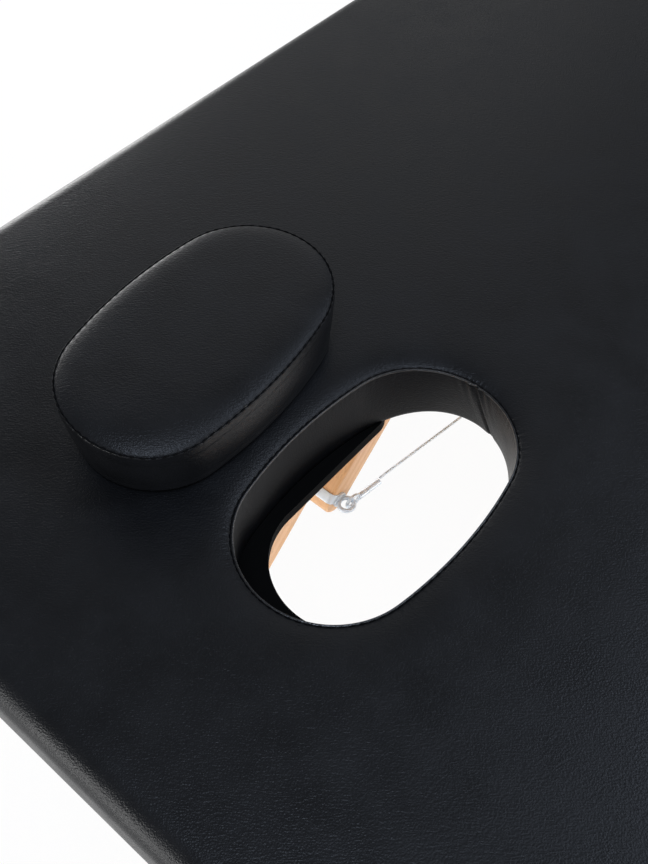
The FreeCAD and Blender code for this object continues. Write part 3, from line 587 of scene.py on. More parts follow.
def place_plug(points):
    """Turns the plug by its angle and moves it to its place on the top."""
    cos, sin = math.cos(PLUG_TURN), math.sin(PLUG_TURN)
    x = points[..., 0] * cos - points[..., 1] * sin + PLUG_AT[0]
    y = points[..., 0] * sin + points[..., 1] * cos + PLUG_AT[1]
    return np.stack([x, y, points[..., 2] + PLUG_LOW.z], -1)


def stitch_shape(length, width):
    """One stitch: a thread that dips at both ends, its round section shrinking as the sine of its length."""
    along = np.linspace(0, 1, 7)[:, None]
    section = circle(THREAD_SIDES)
    thick = width / 2 * np.sin(math.pi * (0.08 + 0.84 * along))**0.5
    lift = width * 0.35 * np.sin(math.pi * along) - width * 0.2
    rows = grid_points((along - 0.5) * length, thick * np.cos(section), lift + thick * np.sin(section) * 0.8)
    return rows.reshape(-1, 3), grid_faces(*rows.shape[:2])


def closed(line):
    """A line with its first point repeated at its end."""
    return np.concatenate([line, line[:1]])


def sew(name, leather, lines):
    """Stitches along lines with their up directions: at even steps, turned along the line, lifted by up."""
    shape, quads = stitch_shape(leather.stitch_length, leather.stitch_width)
    points, faces = [], []
    for line, up in lines:
        run = np.concatenate([[0], np.linalg.norm(np.diff(line, axis=0), axis=1).cumsum()])
        count = int(run[-1] / leather.stitch_pitch)
        at = (np.arange(count) + 0.5) / count * run[-1]
        step = leather.stitch_pitch / 2
        place, ahead, behind, lift = (
            np.column_stack([np.interp(x, run, table[:, i]) for i in range(3)])
            for x, table in ((at, line), (at + step, line), (at - step, line), (at, up)))
        along = unit(ahead - behind)
        across = unit(np.cross(lift, along))
        slanted = along + STITCH_SLANT * across
        copies, own = repeat_shape(shape, quads, place, slanted, across, np.cross(along, across))
        faces.append(own + sum(len(part) for part in points))
        points.append(copies)
    points = np.concatenate(points)
    caps = copy_caps(len(points) // len(shape), len(shape), THREAD_SIDES)
    return lay_mesh(name, points, np.concatenate(faces), FINISHES["thread"], caps)


def turned_shape(profile, count, recess):
    """A low turned head about its own z: rings of radius and height from a profile. The last but one ring
    sinks by the recess at four of its points, which makes a cross."""
    radius, level = np.array(profile).T[..., None]
    rows = grid_points(radius * np.cos(circle(count)), radius * np.sin(circle(count)), level)
    rows[-2, ::count // 4, 2] -= recess
    return rows.reshape(-1, 3), grid_faces(len(profile), count)


def lay_heads(name, profile, places, normal, material, recess=0.0, count=16):
    """One turned head at many places on a plane of some normal, each turned a golden angle from the last."""
    shape, quads = turned_shape(profile, count, recess)
    places = np.asarray(places, float)
    normal = np.asarray(normal, float)
    first = unit(np.cross(normal, (0.3, 0.5, 0.8)))
    second = np.cross(normal, first)
    turn = np.arange(len(places))[:, None] * math.radians(137.5)
    along = np.cos(turn) * first + np.sin(turn) * second
    across = np.cross(normal, along)
    points, faces = repeat_shape(shape, quads, places, along, across, np.repeat(normal[None], len(places), 0))
    return lay_mesh(name, points, faces, material, copy_caps(len(places), len(shape), count))


def toned(colour, factor, lift=0.0):
    """A colour made darker or lighter by a factor and lifted by a little."""
    return tuple(min(1.0, c * factor + lift) for c in colour[:3]) + (1,)


class Finish:
    """A material put together from nodes, ending in a Principled shader."""

    def __init__(self, name, colour=(0.5, 0.5, 0.5, 1), roughness=0.5, metallic=0.0, level=0.5):
        self.material = bpy.data.materials.new(name)
        self.material.use_nodes = True
        self.tree = self.material.node_tree
        self.shader = self.tree.nodes["Principled BSDF"]
        self.feed(self.shader, {"Base Color": colour, "Roughness": roughness, "Metallic": metallic,
                                "Specular IOR Level": level})

    def feed(self, node, inputs):
        """Links sockets and sets plain values on a node's inputs."""
        for key, value in inputs.items():
            if isinstance(value, bpy.types.NodeSocket):
                self.tree.links.new(value, node.inputs[key])
            else:
                node.inputs[key].default_value = value

    def node(self, kind, inputs=None, **settings):
        """A new node with its settings and inputs."""
        node = self.tree.nodes.new("ShaderNode" + kind)
        for key, value in settings.items():
            setattr(node, key, value)
        self.feed(node, inputs or {})
        return node

    def space(self, scale=(1, 1, 1), turn=(0, 0, 0)):
        """Object coordinates, turned back by an angle and divided by a length along each axis."""
        place = self.node("TexCoord").outputs["Object"]
        return self.node("Mapping", {"Vector": place, "Scale": scale, "Rotation": turn},
                         vector_type="TEXTURE").outputs[0]

    def place(self, axis):
        """One of the object coordinates."""
        return self.node("SeparateXYZ", {0: self.node("TexCoord").outputs["Object"]}).outputs[axis]

    def noise(self, space, scale=1.0, detail=2.0):
        """Cloudy noise from 0 to 1."""
        return self.node("TexNoise", {"Vector": space, "Scale": scale, "Detail": detail}).outputs["Fac"]

    def span(self, value, low, high, to_low=0.0, to_high=1.0):
        """A value carried from one range to another and held at its ends."""
        return self.node("MapRange", {"Value": value, "From Min": low, "From Max": high, "To Min": to_low,
                                      "To Max": to_high}).outputs[0]

    def maths(self, operation, a, b=0.0):
        """Arithmetic on two values."""
        return self.node("Math", {0: a, 1: b}, operation=operation).outputs[0]

    def total(self, *parts):
        """Values times their weights, added."""
        first, *rest = (self.maths("MULTIPLY", value, weight) for value, weight in parts)
        for part in rest:
            first = self.maths("ADD", first, part)
        return first

    def mix(self, share, a, b):
        """Two colours mixed by a share."""
        return self.node("Mix", {0: share, 6: a, 7: b}, data_type="RGBA").outputs[2]

    def bump(self, height, depth, strength):
        """Relief of some depth in metres on the shader's normal."""
        node = self.node("Bump", {"Height": height, "Distance": depth, "Strength": strength})
        self.feed(self.shader, {"Normal": node.outputs[0]})


def black_leather(settings, name="black_leather", gloss=(0.31, 0.41), level=0.16):
    """Artificial leather: pebbles from the distance to scattered points, short creases between them from
    stretched noise, and a cloudy change of tone and gloss."""
    finish = Finish(name, level=level)
    place = finish.space()
    cloud = finish.noise(place, 38, 3)
    fine = finish.noise(place, 900, 2)
    warp = finish.node("TexNoise", {"Vector": place, "Scale": 420, "Detail": 1}).outputs["Color"]
    moved = finish.node("VectorMath", {0: warp, 1: (0.0009, 0.0009, 0.0009)}, operation="MULTIPLY").outputs[0]
    moved = finish.node("VectorMath", {0: place, 1: moved}, operation="ADD").outputs[0]
    cells = finish.node("TexVoronoi", {"Vector": moved, "Scale": 1 / settings.grain}, feature="F1")
    pebble = finish.span(cells.outputs["Distance"], 0.15, 0.75, 1.0, 0.0)
    crease = finish.noise(finish.space((0.0042, 0.0009, 0.0009), (0, 0, -0.9)), 1.0, 2)
    finish.bump(finish.total((pebble, 0.40), (crease, 0.85), (fine, 0.2)), settings.grain_depth, 0.7)
    colour = finish.mix(finish.span(cloud, 0.3, 0.7), settings.colour, settings.worn_colour)
    finish.feed(finish.shader, {"Base Color": colour, "Roughness": finish.span(cloud, 0.25, 0.75, *gloss)})
    return finish.material


def sewing_thread(settings):
    """Twisted black thread: fine slanting ridges from a wave."""
    finish = Finish("sewing_thread", settings.thread_colour, 0.7, level=0.06)
    wave = finish.node("TexWave", {"Vector": finish.space(), "Scale": 900, "Distortion": 1.5},
                       bands_direction="DIAGONAL").outputs["Fac"]
    finish.bump(wave, 0.0001, 0.6)
    shade = finish.noise(finish.space(), 300, 2)
    finish.feed(finish.shader, {"Roughness": finish.span(shade, 0.3, 0.7, 0.5, 0.7)})
    return finish.material


def beech_layers(finish, settings, turn):
    """Colour and relief of beech along one direction: growth bands as rings warped by noise, and short dark
    flecks where noise drawn out along the grain passes a level."""
    long = finish.space((0.30, 0.034, 0.034), turn)
    rings = {"Vector": long, "Scale": 1.1, "Distortion": 5.0, "Detail": 3.0, "Detail Scale": 1.2}
    bands = finish.node("TexWave", rings, wave_type="RINGS", rings_direction="X").outputs["Fac"]
    streak = finish.noise(finish.space((0.16, 0.0016, 0.0016), turn), 1.0, 3)
    fleck = finish.noise(finish.space((0.0042, 0.00055, 0.00055), turn), 1.0, 1)
    fleck = finish.span(fleck, 0.63, 0.74)
    share = finish.total((bands, 0.45), (streak, 0.55))
    colour = finish.mix(finish.span(share, 0.25, 0.8), settings.beech, settings.beech_late)
    colour = finish.mix(finish.maths("MULTIPLY", fleck, 0.55), colour, settings.beech_fleck)
    return colour, finish.maths("SUBTRACT", streak, fleck)


def beech(settings, name, turn, cross_at=None):
    """Lacquered beech with its grain along one direction. Nearer the middle than cross_at, it runs across."""
    finish = Finish(name, level=0.45)
    colour, relief = beech_layers(finish, settings, turn)
    if cross_at:
        other, other_relief = beech_layers(finish, settings, (0, 0, math.pi / 2))
        inside = finish.maths("LESS_THAN", finish.maths("ABSOLUTE", finish.place("Y")), cross_at)
        colour = finish.mix(inside, colour, other)
        relief = finish.total((other_relief, inside), (relief, finish.maths("SUBTRACT", 1.0, inside)))
    finish.bump(relief, 0.00012, 0.35)
    shine = finish.noise(finish.space(), 26, 2)
    finish.feed(finish.shader, {"Base Color": colour, "Roughness": finish.span(shine, 0.3, 0.7, 0.32, 0.44)})
    return finish.material


def plated_steel(tone, name="plated_steel", rough=(0.50, 0.64), metal=0.75):
    """Zinc-plated steel: a cloudy change of gloss and tone, with fine scratches drawn out along one way."""
    finish = Finish(name, tone, 0.3, metal)
    cloud = finish.noise(finish.space(), 130, 4)
    scratch = finish.noise(finish.space((0.012, 0.0004, 0.0004), (0.3, 0.2, 0.6)), 1.0, 2)
    colour = finish.mix(finish.span(cloud, 0.35, 0.75), tone, toned(tone, 0.80))
    finish.bump(finish.total((scratch, 1.0), (cloud, 0.6)), 0.00005, 0.35)
    finish.feed(finish.shader, {"Base Color": colour, "Roughness": finish.span(scratch, 0.3, 0.7, *rough)})
    return finish.material


def moulded(name, colour, rough, grain, depth):
    """Moulded plastic or rubber: an even fine grain and a slight cloud in its gloss."""
    finish = Finish(name, colour, rough, level=0.4)
    cloud = finish.noise(finish.space(), 40, 3)
    tone = finish.mix(finish.span(cloud, 0.4, 0.7), colour, toned(colour, 1.7, 0.002))
    finish.bump(finish.noise(finish.space(), 1 / grain, 2), depth, 0.6)
    finish.feed(finish.shader, {"Base Color": tone,
                                "Roughness": finish.span(cloud, 0.3, 0.7, rough - 0.06, rough + 0.08)})
    return finish.material


def plywood(name, pale, dark, gloss, level=0.3):
    """Plywood: thin veneers that change tone with height, and fine long streaks along the sheet."""
    finish = Finish(name, level=level)
    ply = finish.maths("PINGPONG", finish.maths("SUBTRACT", finish.place("Z"), DECK_LOW.z), 0.0012)
    ply = finish.span(ply, 0.0004, 0.0008)
    streak = finish.noise(finish.space((0.22, 0.0030, 0.02)), 1.0, 4)
    share = finish.total((ply, 0.45), (streak, 0.6))
    finish.bump(streak, 0.00015, 0.4)
    finish.feed(finish.shader, {"Base Color": finish.mix(finish.span(share, 0.2, 0.8), pale, dark),
                                "Roughness": finish.span(streak, 0.3, 0.7, gloss, gloss + 0.12)})
    return finish.material


def dress(material, *names):
    """Gives carried-over frame pieces their finish."""
    for name in names:
        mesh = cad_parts[name].data
        mesh.materials.clear()
        mesh.materials.append(material)


class MASSAGE_OT_stage(bpy.types.Operator):
    """Camera at the photograph's angle, soft lights, and a plain pale floor"""

    bl_idname = "massage_table.stage"
    bl_label = "Stage"

    def execute(self, context):
        stage = context.scene.massage_stage
        self.camera(stage)
        self.world(stage)
        self.floor(stage)
        for name, at, size, power, aim, tint in (
                ("key_light", (1.3, 1.8, 2.3), 2.0, 9.5, (-0.6, 0.0, 0.6), WHITE),
                ("overhead_light", (-1.4, -0.52, 2.75), 0.7, 26, (-0.6, 0.0, 0.6), COOL),
                ("window_light", (0.35, -0.85, 2.35), 1.0, 18, (-0.6, 0.0, 0.6), COOL),
                ("right_light", (0.6, -4.2, 1.05), 2.0, 122, (-0.3, 0.0, 0.3), WHITE),
                ("left_light", (0.2, 2.6, 0.6), 1.4, 40, (-0.4, 0.0, 0.3), WHITE),
                ("head_light", (-2.8, 0.5, 0.5), 1.0, 27, (-0.6, 0.0, 0.35), WHITE),
                ("foot_light", (3.4, -0.6, 0.6), 1.1, 18, (0.6, 0.0, 0.35), WHITE)):
            self.lamp(name, at, size, power, aim, tint)
        context.scene.view_settings.view_transform = "Standard"
        return {"FINISHED"}

    def camera(self, stage):
        """The view's axes: heading and dip give forward, right lies level, and both turn by the roll."""
        data = bpy.data.cameras.new("photo_camera")
        data.lens = stage.lens
        data.sensor_width = 36.0
        data.clip_start = 0.02
        cos_y, sin_y = math.cos(stage.yaw), math.sin(stage.yaw)
        cos_p, sin_p = math.cos(stage.pitch), math.sin(stage.pitch)
        forward = np.array([cos_y * cos_p, sin_y * cos_p, -sin_p])
        right = np.array([sin_y, -cos_y, 0.0])
        up = np.cross(right, forward)
        cos_r, sin_r = math.cos(stage.roll), math.sin(stage.roll)
        right, up = cos_r * right + sin_r * up, cos_r * up - sin_r * right
        axes = np.eye(4)
        axes[:3] = np.column_stack([right, up, -forward, stage.eye])
        camera = bpy.data.objects.new("photo_camera", data)
        camera.matrix_world = Matrix(axes.tolist())
        bpy.context.scene.collection.objects.link(camera)
        bpy.context.scene.camera = camera

    def world(self, stage):
        """White for the camera, soft light of the ambient strength for everything else."""
        world = bpy.data.worlds.new("studio")
        world.use_nodes = True
        tree = world.node_tree
        light = tree.nodes["Background"]
        light.inputs["Color"].default_value = (0.95, 0.97, 1.0, 1)
        light.inputs["Strength"].default_value = stage.ambient
        seen = tree.nodes.new("ShaderNodeBackground")
        seen.inputs["Color"].default_value = (1, 1, 1, 1)
        mix = tree.nodes.new("ShaderNodeMixShader")
        path = tree.nodes.new("ShaderNodeLightPath")
        tree.links.new(path.outputs["Is Camera Ray"], mix.inputs[0])
        tree.links.new(light.outputs[0], mix.inputs[1])
        tree.links.new(seen.outputs[0], mix.inputs[2])
        tree.links.new(mix.outputs[0], tree.nodes["World Output"].inputs[0])
        bpy.context.scene.world = world

    def floor(self, stage):
        """A wide disc whose camera, glossy and transmission rays see mostly plain white."""
        finish = Finish("pale_floor", stage.floor_colour, 0.7, level=0.2)
        cloud = finish.noise(finish.space(), 3, 3)
        tone = finish.mix(cloud, stage.floor_colour, toned(stage.floor_colour, 0.97))
        finish.feed(finish.shader, {"Base Color": tone})
        path = finish.node("LightPath")
        seen = finish.maths("MAXIMUM", path.outputs["Is Camera Ray"], path.outputs["Is Glossy Ray"])
        seen = finish.maths("MAXIMUM", seen, path.outputs["Is Transmission Ray"])
        glow = finish.node("Emission", {"Color": (1, 1, 1, 1), "Strength": 1.0})
        blend = finish.node("MixShader", {0: finish.maths("MULTIPLY", seen, stage.floor_glow),
                                          1: finish.shader.outputs[0], 2: glow.outputs[0]})
        finish.tree.links.new(blend.outputs[0], finish.tree.nodes["Material Output"].inputs[0])
        radius = np.array([[0.5], [3.0], [30.0]])
        rings = grid_points(radius * np.cos(circle(64)), radius * np.sin(circle(64)), -0.0005)
        floor = lay_mesh("floor", rings, grid_faces(3, 64)[:, ::-1], finish.material, [np.arange(64)])

    def lamp(self, name, at, size, power, aim, tint):
        """A square soft light of some tint aimed at a point."""
        data = bpy.data.lights.new(name, "AREA")
        data.size = size
        data.energy = power
        data.color = tint
        lamp = bpy.data.objects.new(name, data)
        back = Vector(at) - Vector(aim)
        lamp.matrix_world = Matrix.Translation(at) @ back.to_track_quat("Z", "Y").to_matrix().to_4x4()
        bpy.context.scene.collection.objects.link(lamp)


class MASSAGE_OT_cables(bpy.types.Operator):
    """Crossed steel cables, each half from its pressed sleeve to the table's middle"""

    bl_idname = "massage_table.cables"
    bl_label = "Cables"

    def execute(self, context):
        settings = context.scene.massage_frame
        FINISHES["cable"] = plated_steel(settings.wire, "wire_strand", (0.36, 0.48), 0.25)
        for half, way in HALVES.items():
            low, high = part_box(half + "_cables")
            far = max(abs(low.x), abs(high.x)) - 0.0003
            for label, side in SIDES.items():
                level = (low.z + high.z) / 2 + side * CABLE_PASS
                start = np.array([way * far, side * (high.y - settings.cable_diameter / 2), level])
                self.cable(settings, half, f"{half}_cable_{label}", start, np.array([0.0, 0.0, level]))
        return {"FINISHED"}

    def route(self, points):
        """Points of the NURBS line through the route's control points."""
        curve = bpy.data.curves.new("route", "CURVE")
        curve.dimensions = "3D"
        curve.resolution_u = 64
        line = curve.splines.new("NURBS")
        line.points.add(len(points) - 1)
        line.points.foreach_set("co", np.column_stack([points, np.ones(len(points))]).ravel())
        line.order_u = 3
        line.use_endpoint_u = True
        holder = bpy.data.objects.new("route", curve)
        mesh = bpy.data.meshes.new_from_object(holder)
        path = np.zeros(len(mesh.vertices) * 3)
        mesh.vertices.foreach_get("co", path)
        bpy.data.meshes.remove(mesh)
        bpy.data.objects.remove(holder)
        bpy.data.curves.remove(curve)
        return path.reshape(-1, 3)

    def cable(self, settings, half, name, start, end):
        """Strands laid round a straight line: each strand's middle circles the line once in a lay length."""
        diameter = settings.cable_diameter
        length = np.linalg.norm(end - start)
        way = unit(end - start)
        across = unit(np.cross(way, (0, 0, 1)))
        up = np.cross(across, way)
        path = self.route(np.array([start, start + way * 6 * diameter, end]))
        strand = diameter / 2 * STRAND_SHARE
        steps = int(length / settings.cable_lay * LAY_STEPS)
        along = np.linspace(0, length, steps)[:, None]
        section = circle(THREAD_SIDES)[:, None]
        strands = []
        for k in range(settings.strands + 1):
            reach = (diameter / 2 - strand) if k < settings.strands else 0.0
            turn = along / settings.cable_lay * 2 * math.pi + k / settings.strands * 2 * math.pi
            out = np.cos(turn) * across + np.sin(turn) * up
            middle = start + along * way + reach * out
            ring = np.cos(section) * out[:, None] + np.sin(section) * np.cross(way, out)[:, None]
            strands.append((middle[:, None] + strand * ring).reshape(-1, 3))
        size = steps * THREAD_SIDES
        faces = np.concatenate([grid_faces(steps, THREAD_SIDES) + k * size for k in range(len(strands))])
        caps = copy_caps(len(strands), size, THREAD_SIDES)
        piece = lay_mesh(name, np.concatenate(strands), faces, FINISHES["cable"], caps)
        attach(piece, half + "_half")
        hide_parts(half + "_cables")
        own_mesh(piece)


class MASSAGE_OT_pads(bpy.types.Operator):
    """The two padded halves of the top and the lining of the face hole"""

    bl_idname = "massage_table.pads"
    bl_label = "Padded top"

    def execute(self, context):
        top = context.scene.massage_top
        leather = context.scene.massage_leather
        FINISHES["leather"] = black_leather(leather)
        FINISHES["thread"] = sewing_thread(leather)
        head = lay_loop("head_pad", head_pad_surface(top), FINISHES["leather"])
        foot = lay_tube("foot_pad", foot_pad_surface(top), FINISHES["leather"])
        for half, pad in (("head", head), ("foot", foot)):
            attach(pad, half + "_half")
            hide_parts(half + "_cover", half + "_foam")
        self.lining(top, leather)
        self.stitches(top, leather)
        return {"FINISHED"}

    def lining(self, top, leather):
        """The lining of the hole, its rolled top in a shinier leather than its wall."""
        rows, length = lining_surface(top)
        lining = lay_loop("hole_lining", rows, black_leather(leather, "lining_leather", (0.30, 0.40), 0.036))
        lining.data.materials.append(black_leather(leather, "rolled_leather", (0.26, 0.34), 0.5))
        rolled = np.arange(len(lining.data.polygons)) < LINING_ROLL_ROWS * rows.shape[1]
        lining.data.polygons.foreach_set("material_index", rolled.astype(np.int32))
        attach(lining, "head_half")
        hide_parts("hole_liner")

    def stitches(self, top, leather):
        """Stitches in the groove between the sloping rim and the lining."""
        angle, _ = oval_angles(HOLE, HOLE_STEPS)
        line = hole_row(angle, top.groove_inset, seam_height(top) + HOLE_STITCH_LIFT)
        inward = at_level(-np.column_stack([np.cos(angle), np.sin(angle)]), 2.0)
        seam = sew("hole_stitches", leather, [(closed(line), closed(inward))])
        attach(seam, "head_half")


class MASSAGE_OT_plug(bpy.types.Operator):
    """The loose plug cushion with its stitched seam"""

    bl_idname = "massage_table.plug"
    bl_label = "Plug cushion"

    def execute(self, context):
        plug = context.scene.massage_plug
        top = context.scene.massage_top
        rows, angle = plug_rows(plug, top)
        cushion = lay_tube("plug_cushion", place_plug(rows), FINISHES["leather"])
        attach(cushion, "plug")
        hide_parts("plug_cover", "plug_foam")
        height, share = plug_seam(plug, angle)
        line = at_level(oval_points(PLUG, angle, plug.swell * share - top.groove_inset),
                        height - top.groove + PLUG_STITCH_LIFT)
        out = at_level(np.column_stack([np.cos(angle + PLUG_TURN), np.sin(angle + PLUG_TURN)]), 2.0)
        seam = sew("plug_stitches", context.scene.massage_leather, [(closed(place_plug(line)), closed(out))])
        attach(seam, "plug")
        return {"FINISHED"}


class MASSAGE_OT_straps(bpy.types.Operator):
    """The carrying straps with their seams"""

    bl_idname = "massage_table.straps"
    bl_label = "Carrying straps"

    def execute(self, context):
        for half in HALVES:
            low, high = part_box(half + "_handle")
            line, normal = self.bow(low, high)
            self.band(half, low, high, line, normal)
            self.seams(half, low, high, line, normal, context.scene.massage_leather)
        return {"FINISHED"}

    def bow(self, low, high):
        """Middle line of a strap seen from above, with its outward normal: flat tabs, and between them a bow
        as the square of a cosine."""
        reach = (high.x - low.x) / 2
        x = np.linspace(-reach, reach, 90)
        bow = high.y - low.y - STRAP_THICK
        out = bow * np.cos(np.clip(x / (reach - STRAP_TAB), -1, 1) * math.pi / 2)**2
        line = np.column_stack([x + (low.x + high.x) / 2, high.y - STRAP_THICK / 2 - out])
        slope = np.gradient(line[:, 1], line[:, 0])
        return line, unit(np.column_stack([slope, -np.ones(len(x))]))

    def band(self, half, low, high, line, normal):
        """The strap itself: a flattened round section along its line, a little thinner at its seams."""
        width = high.z - low.z
        wide, thick = flat_section(width, STRAP_THICK, 28, 0.6)
        thick *= 1 - 0.12 * bell(np.abs(wide) - width / 2 + 0.0032, 0.0008)
        xy = line[:, None] + thick[:, None] * normal[:, None]
        rows = grid_points(xy[..., 0], xy[..., 1], (low.z + high.z) / 2 + wide)
        strap = lay_tube(half + "_strap", rows, FINISHES["leather"])
        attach(strap, half + "_half")
        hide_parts(half + "_handle")

    def seams(self, half, low, high, line, normal, leather):
        """A stitched line along each edge of the strap, on its outer side."""
        outer, out = line + normal * STRAP_THICK * 0.45, at_level(normal, 0.0)
        lines = [(at_level(outer, z)[2:-2], out[2:-2]) for z in (low.z + STRAP_SEAM, high.z - STRAP_SEAM)]
        seam = sew(half + "_strap_stitches", leather, lines)
        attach(seam, half + "_half")


class MASSAGE_OT_fasteners(bpy.types.Operator):
    """Screws, staples and bolt caps on the frame"""

    bl_idname = "massage_table.fasteners"
    bl_label = "Fasteners"

    def execute(self, context):
        steel = plated_steel(context.scene.massage_frame.zinc, "screw_steel", (0.46, 0.58))
        for half, way in HALVES.items():
            self.eye_straps(half, way)
            self.strap_screws(half, steel)
            self.bolt_caps(half, steel)
            self.staples(half, context.scene.massage_top, steel)
        self.latch_screws("head", "latch_plates", steel)
        self.latch_screws("foot", "latch_keepers", steel)
        self.socket_screws(steel)
        return {"FINISHED"}

    def eye_straps(self, half, way):
        """A steel strap bent round the end of each upper lath under its cable eye: a flattened section along
        a line that crosses the inner face, turns two edges as quarter rounds, and ends on the outer face."""
        wide, thick = EYE_STRAP
        bend = LATH_EDGE + thick / 2
        edge = BRACE_WIDTH / 2 - LATH_EDGE
        turn = np.linspace(-math.pi / 2, 0, 8)
        near = np.column_stack([edge + bend * np.cos(turn), LATH_EDGE + bend * np.sin(turn)])
        far = np.column_stack([near[::-1, 0], BRACE_THICK - near[::-1, 1]])
        line = np.concatenate([[(-0.008, -thick / 2)], near, far, [(edge - 0.004, BRACE_THICK + thick / 2)]])
        along = np.gradient(line, axis=0)
        normal = unit(np.column_stack([along[:, 1], -along[:, 0]]))
        width, height = flat_section(wide, thick, 16, 0.5)
        section = line[:, None] + height[:, None] * normal[:, None]
        low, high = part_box(half + "_knuckle_bolts")
        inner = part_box(half + "_upper_braces")[1].y - BRACE_THICK
        across = np.array([way * math.sin(BRACE_SLOPE), 0.0, math.cos(BRACE_SLOPE)])
        lath = np.array([-way * math.cos(BRACE_SLOPE), 0.0, math.sin(BRACE_SLOPE)])
        for label, side in SIDES.items():
            place = np.array([(low.x + high.x) / 2, side * inner, (low.z + high.z) / 2])
            rows = (place + section[..., :1] * across + section[..., 1:] * (0.0, side, 0.0)
                    + width[:, None] * lath)
            strap = lay_tube(f"{half}_eye_strap_{label}", rows, FINISHES["cable"])
            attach(strap, half + "_upper_brace_pair")

    def strap_screws(self, half, steel):
        """Two domed cross-head screws through each tab of a strap."""
        low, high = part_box(half + "_handle")
        middle = (low.z + high.z) / 2
        places = [(x, high.y - STRAP_THICK, middle + side * STRAP_SCREW_RISE)
                  for x in (low.x + STRAP_TAB / 2, high.x - STRAP_TAB / 2) for side in (-1, 1)]
        screws = lay_heads(half + "_strap_screws", STRAP_SCREW, places, (0, -1, 0), steel, 0.0007)
        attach(screws, half + "_half")

    def latch_screws(self, half, node, steel):
        """Four flush cross-head screws at the corners of each latch plate or keeper."""
        low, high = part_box(node)
        level = (low.z + high.z) / 2
        rise = (high.z - low.z) / 2 - 0.0045
        run = LATCH_PLATE / 2 - 0.0055
        ends = (low.x + LATCH_PLATE / 2, high.x - LATCH_PLATE / 2)
        places = [(x + a * run, high.y - LATCH_THICK, level + b * rise)
                  for x in ends for a in (-1, 1) for b in (-1, 1)]
        screws = lay_heads(half + "_latch_screws", LATCH_SCREW, places, (0, -1, 0), steel, 0.0005)
        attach(screws, half + "_half")

    def socket_screws(self, steel):
        """Three small screws in the flange of each headrest socket, at thirds of a circle."""
        low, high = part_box("headrest_sockets")
        level = (low.z + high.z) / 2
        flange = (high.z - low.z) / 2
        ring = 0.8 * flange
        places = [(low.x, side * (high.y - flange) + ring * math.cos(a), level + ring * math.sin(a))
                  for side in (-1, 1) for a in circle(3) + math.pi / 2]
        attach(lay_heads("socket_screws", SOCKET_SCREW, places, (-1, 0, 0), steel, 0.0004), "head_half")

    def bolt_caps(self, half, steel):
        """Domed caps with a round socket on the heads of the leg bolts."""
        low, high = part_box(half + "_frame_pivots")
        x = math.copysign(max(abs(low.x), abs(high.x)) - LEG_BOLT_HEAD, low.x)
        dome = [((LEG_BOLT_HEAD + 0.00015) * share, z) for share, z in BOLT_CAP]
        for label, side, y in (("right", -1, low.y), ("left", 1, high.y)):
            cap = lay_heads(f"{half}_bolt_cap_{label}", dome, [(x, y, LEG_BOLT_LEVEL)], (0, side, 0), steel,
                            count=24)
            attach(cap, half + "_half")

    def staples(self, half, top, steel):
        """Wire staples in the cover's lip under the deck, at even steps along its three outer edges."""
        low, high = (COVER_LOW, COVER_HIGH) if half == "head" else (FOOT_LOW, FOOT_HIGH)
        line, normal = outline_points(low, high, top.corner_radius, np.arange(2000) / 2000)
        line = line - normal * top.lip_width * 0.55
        outer = np.abs(line[:, 0]) > 0.05
        line, normal = line[outer], normal[outer]
        run = np.hypot(*np.diff(line, axis=0, prepend=line[:1]).T).cumsum()
        pick = np.searchsorted(run, np.arange(0.01, run[-1], STAPLE_PITCH))
        along = at_level(np.column_stack([-normal[pick, 1], normal[pick, 0]]), 0.0)
        across = at_level(normal[pick], 0.0)
        bend = np.linspace(-1, 1, 9)[:, None]
        section = circle(THREAD_SIDES)
        wire = grid_points(bend * STAPLE_REACH, STAPLE_WIRE * np.cos(section),
                           STAPLE_WIRE * np.sin(section) - STAPLE_SAG * (1 - bend**8)).reshape(-1, 3)
        up = np.repeat([[0.0, 0.0, 1.0]], len(pick), 0)
        points, faces = repeat_shape(wire, grid_faces(len(bend), THREAD_SIDES),
                                     at_level(line[pick], COVER_LOW.z), along, across, up)
        caps = copy_caps(len(pick), len(wire), THREAD_SIDES)
        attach(lay_mesh(half + "_staples", points, faces, steel, caps), half + "_half")


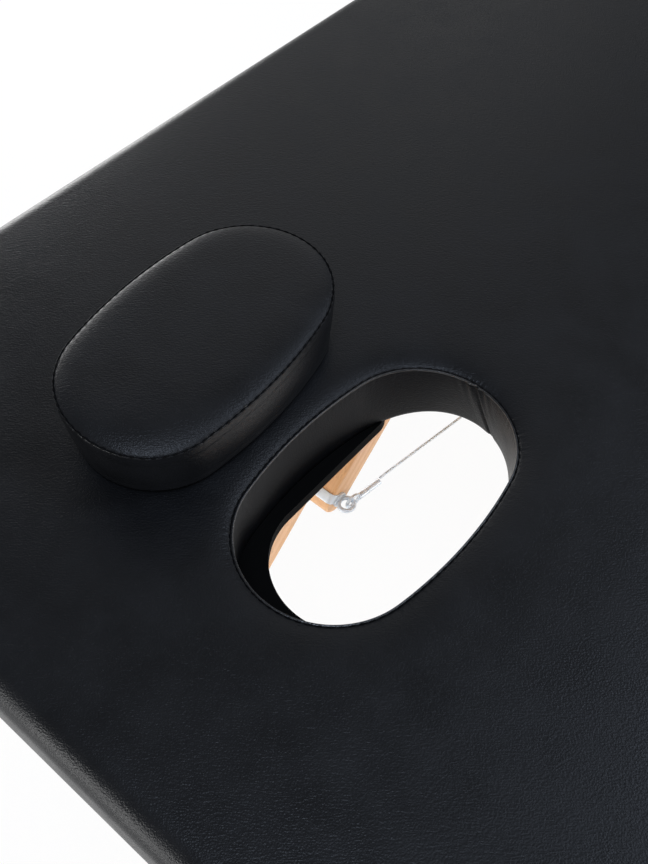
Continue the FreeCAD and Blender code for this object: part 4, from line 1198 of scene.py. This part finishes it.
class MASSAGE_OT_finishes(bpy.types.Operator):
    """Beech, steel, plastic, rubber and plywood on the carried-over frame"""

    bl_idname = "massage_table.finishes"
    bl_label = "Frame finishes"

    def execute(self, context):
        settings = context.scene.massage_frame
        along = beech(settings, "beech_lengthwise", (0, 0, 0))
        across = beech(settings, "beech_crosswise", (0, 0, math.pi / 2))
        steel = plated_steel(settings.zinc)
        knob = moulded("knob_plastic", (0.012, 0.012, 0.013, 1), 0.42, 0.0004, 0.00006)
        rubber = moulded("foot_rubber", (0.010, 0.010, 0.010, 1), 0.66, 0.0007, 0.00012)
        deck = plywood("birch_plywood", (0.62, 0.46, 0.29, 1), (0.44, 0.29, 0.16, 1), 0.5)
        for half, way in HALVES.items():
            lean = (0, math.pi / 2 - way * SPLAY, 0)
            legs = beech(settings, half + "_leg_beech", lean, CROSSBAR_REACH[half])
            braces = beech(settings, half + "_brace_beech", (0, way * BRACE_SLOPE, 0))
            extensions = beech(settings, half + "_extension_beech", lean)
            for material, nodes in (
                    (along, ("side_rails", "pivot_blocks")), (across, ("end_rail", "cross_rails")),
                    (legs, ("leg_frame",)), (extensions, ("extension_left", "extension_right")),
                    (braces, ("upper_braces", "lower_braces")), (deck, ("deck",)),
                    (steel, ("frame_pivots", "hinge_leaves", "leg_hardware", "knuckle_bolts")),
                    (FINISHES["cable"], ("cable_eyes",)), (rubber, ("foot_left", "foot_right")),
                    (knob, ("knob_left_upper", "knob_left_lower", "knob_right_upper", "knob_right_lower"))):
                dress(material, *(f"{half}_{node}" for node in nodes))
        dress(steel, "hinge_pins", "latch_plates", "latch_keepers", "latch_hook_inner", "latch_hook_outer")
        black, grey = (0.0016, 0.0016, 0.0016, 1), (0.0028, 0.0028, 0.0028, 1)
        dress(plywood("black_board", black, grey, 0.6, 0.03), "plug_ledge")
        dress(moulded("socket_plastic", (0.014, 0.014, 0.014, 1), 0.38, 0.0005, 0.00005), "headrest_sockets")
        return {"FINISHED"}


OPERATORS = (MASSAGE_OT_stage, MASSAGE_OT_cables, MASSAGE_OT_pads, MASSAGE_OT_plug, MASSAGE_OT_straps,
             MASSAGE_OT_fasteners, MASSAGE_OT_finishes)


class MASSAGE_PT_panel(bpy.types.Panel):
    """Lists the steps that build the table's looks"""

    bl_idname = "MASSAGE_PT_panel"
    bl_label = "Massage table"
    bl_space_type = "VIEW_3D"
    bl_region_type = "UI"
    bl_category = "Massage table"

    def draw(self, context):
        for operator in OPERATORS:
            self.layout.operator(operator.bl_idname)
        for name, group in SETTINGS.items():
            settings = getattr(context.scene, name)
            for key in group.__annotations__:
                self.layout.prop(settings, key)


def register():
    """Registers the settings, the operators and the panel."""
    for name, group in SETTINGS.items():
        bpy.utils.register_class(group)
        setattr(bpy.types.Scene, name, PointerProperty(type=group))
    for item in OPERATORS + (MASSAGE_PT_panel,):
        bpy.utils.register_class(item)


def unregister():
    """Takes back what register added."""
    for item in OPERATORS + (MASSAGE_PT_panel,):
        bpy.utils.unregister_class(item)
    for name, group in SETTINGS.items():
        delattr(bpy.types.Scene, name)
        bpy.utils.unregister_class(group)


def main():
    """Builds the looks in order."""
    register()
    bpy.ops.massage_table.stage()
    bpy.ops.massage_table.cables()
    bpy.ops.massage_table.pads()
    bpy.ops.massage_table.plug()
    bpy.ops.massage_table.straps()
    bpy.ops.massage_table.fasteners()
    bpy.ops.massage_table.finishes()
    bpy.context.view_layer.update()


if __name__ == "__main__":
    main()
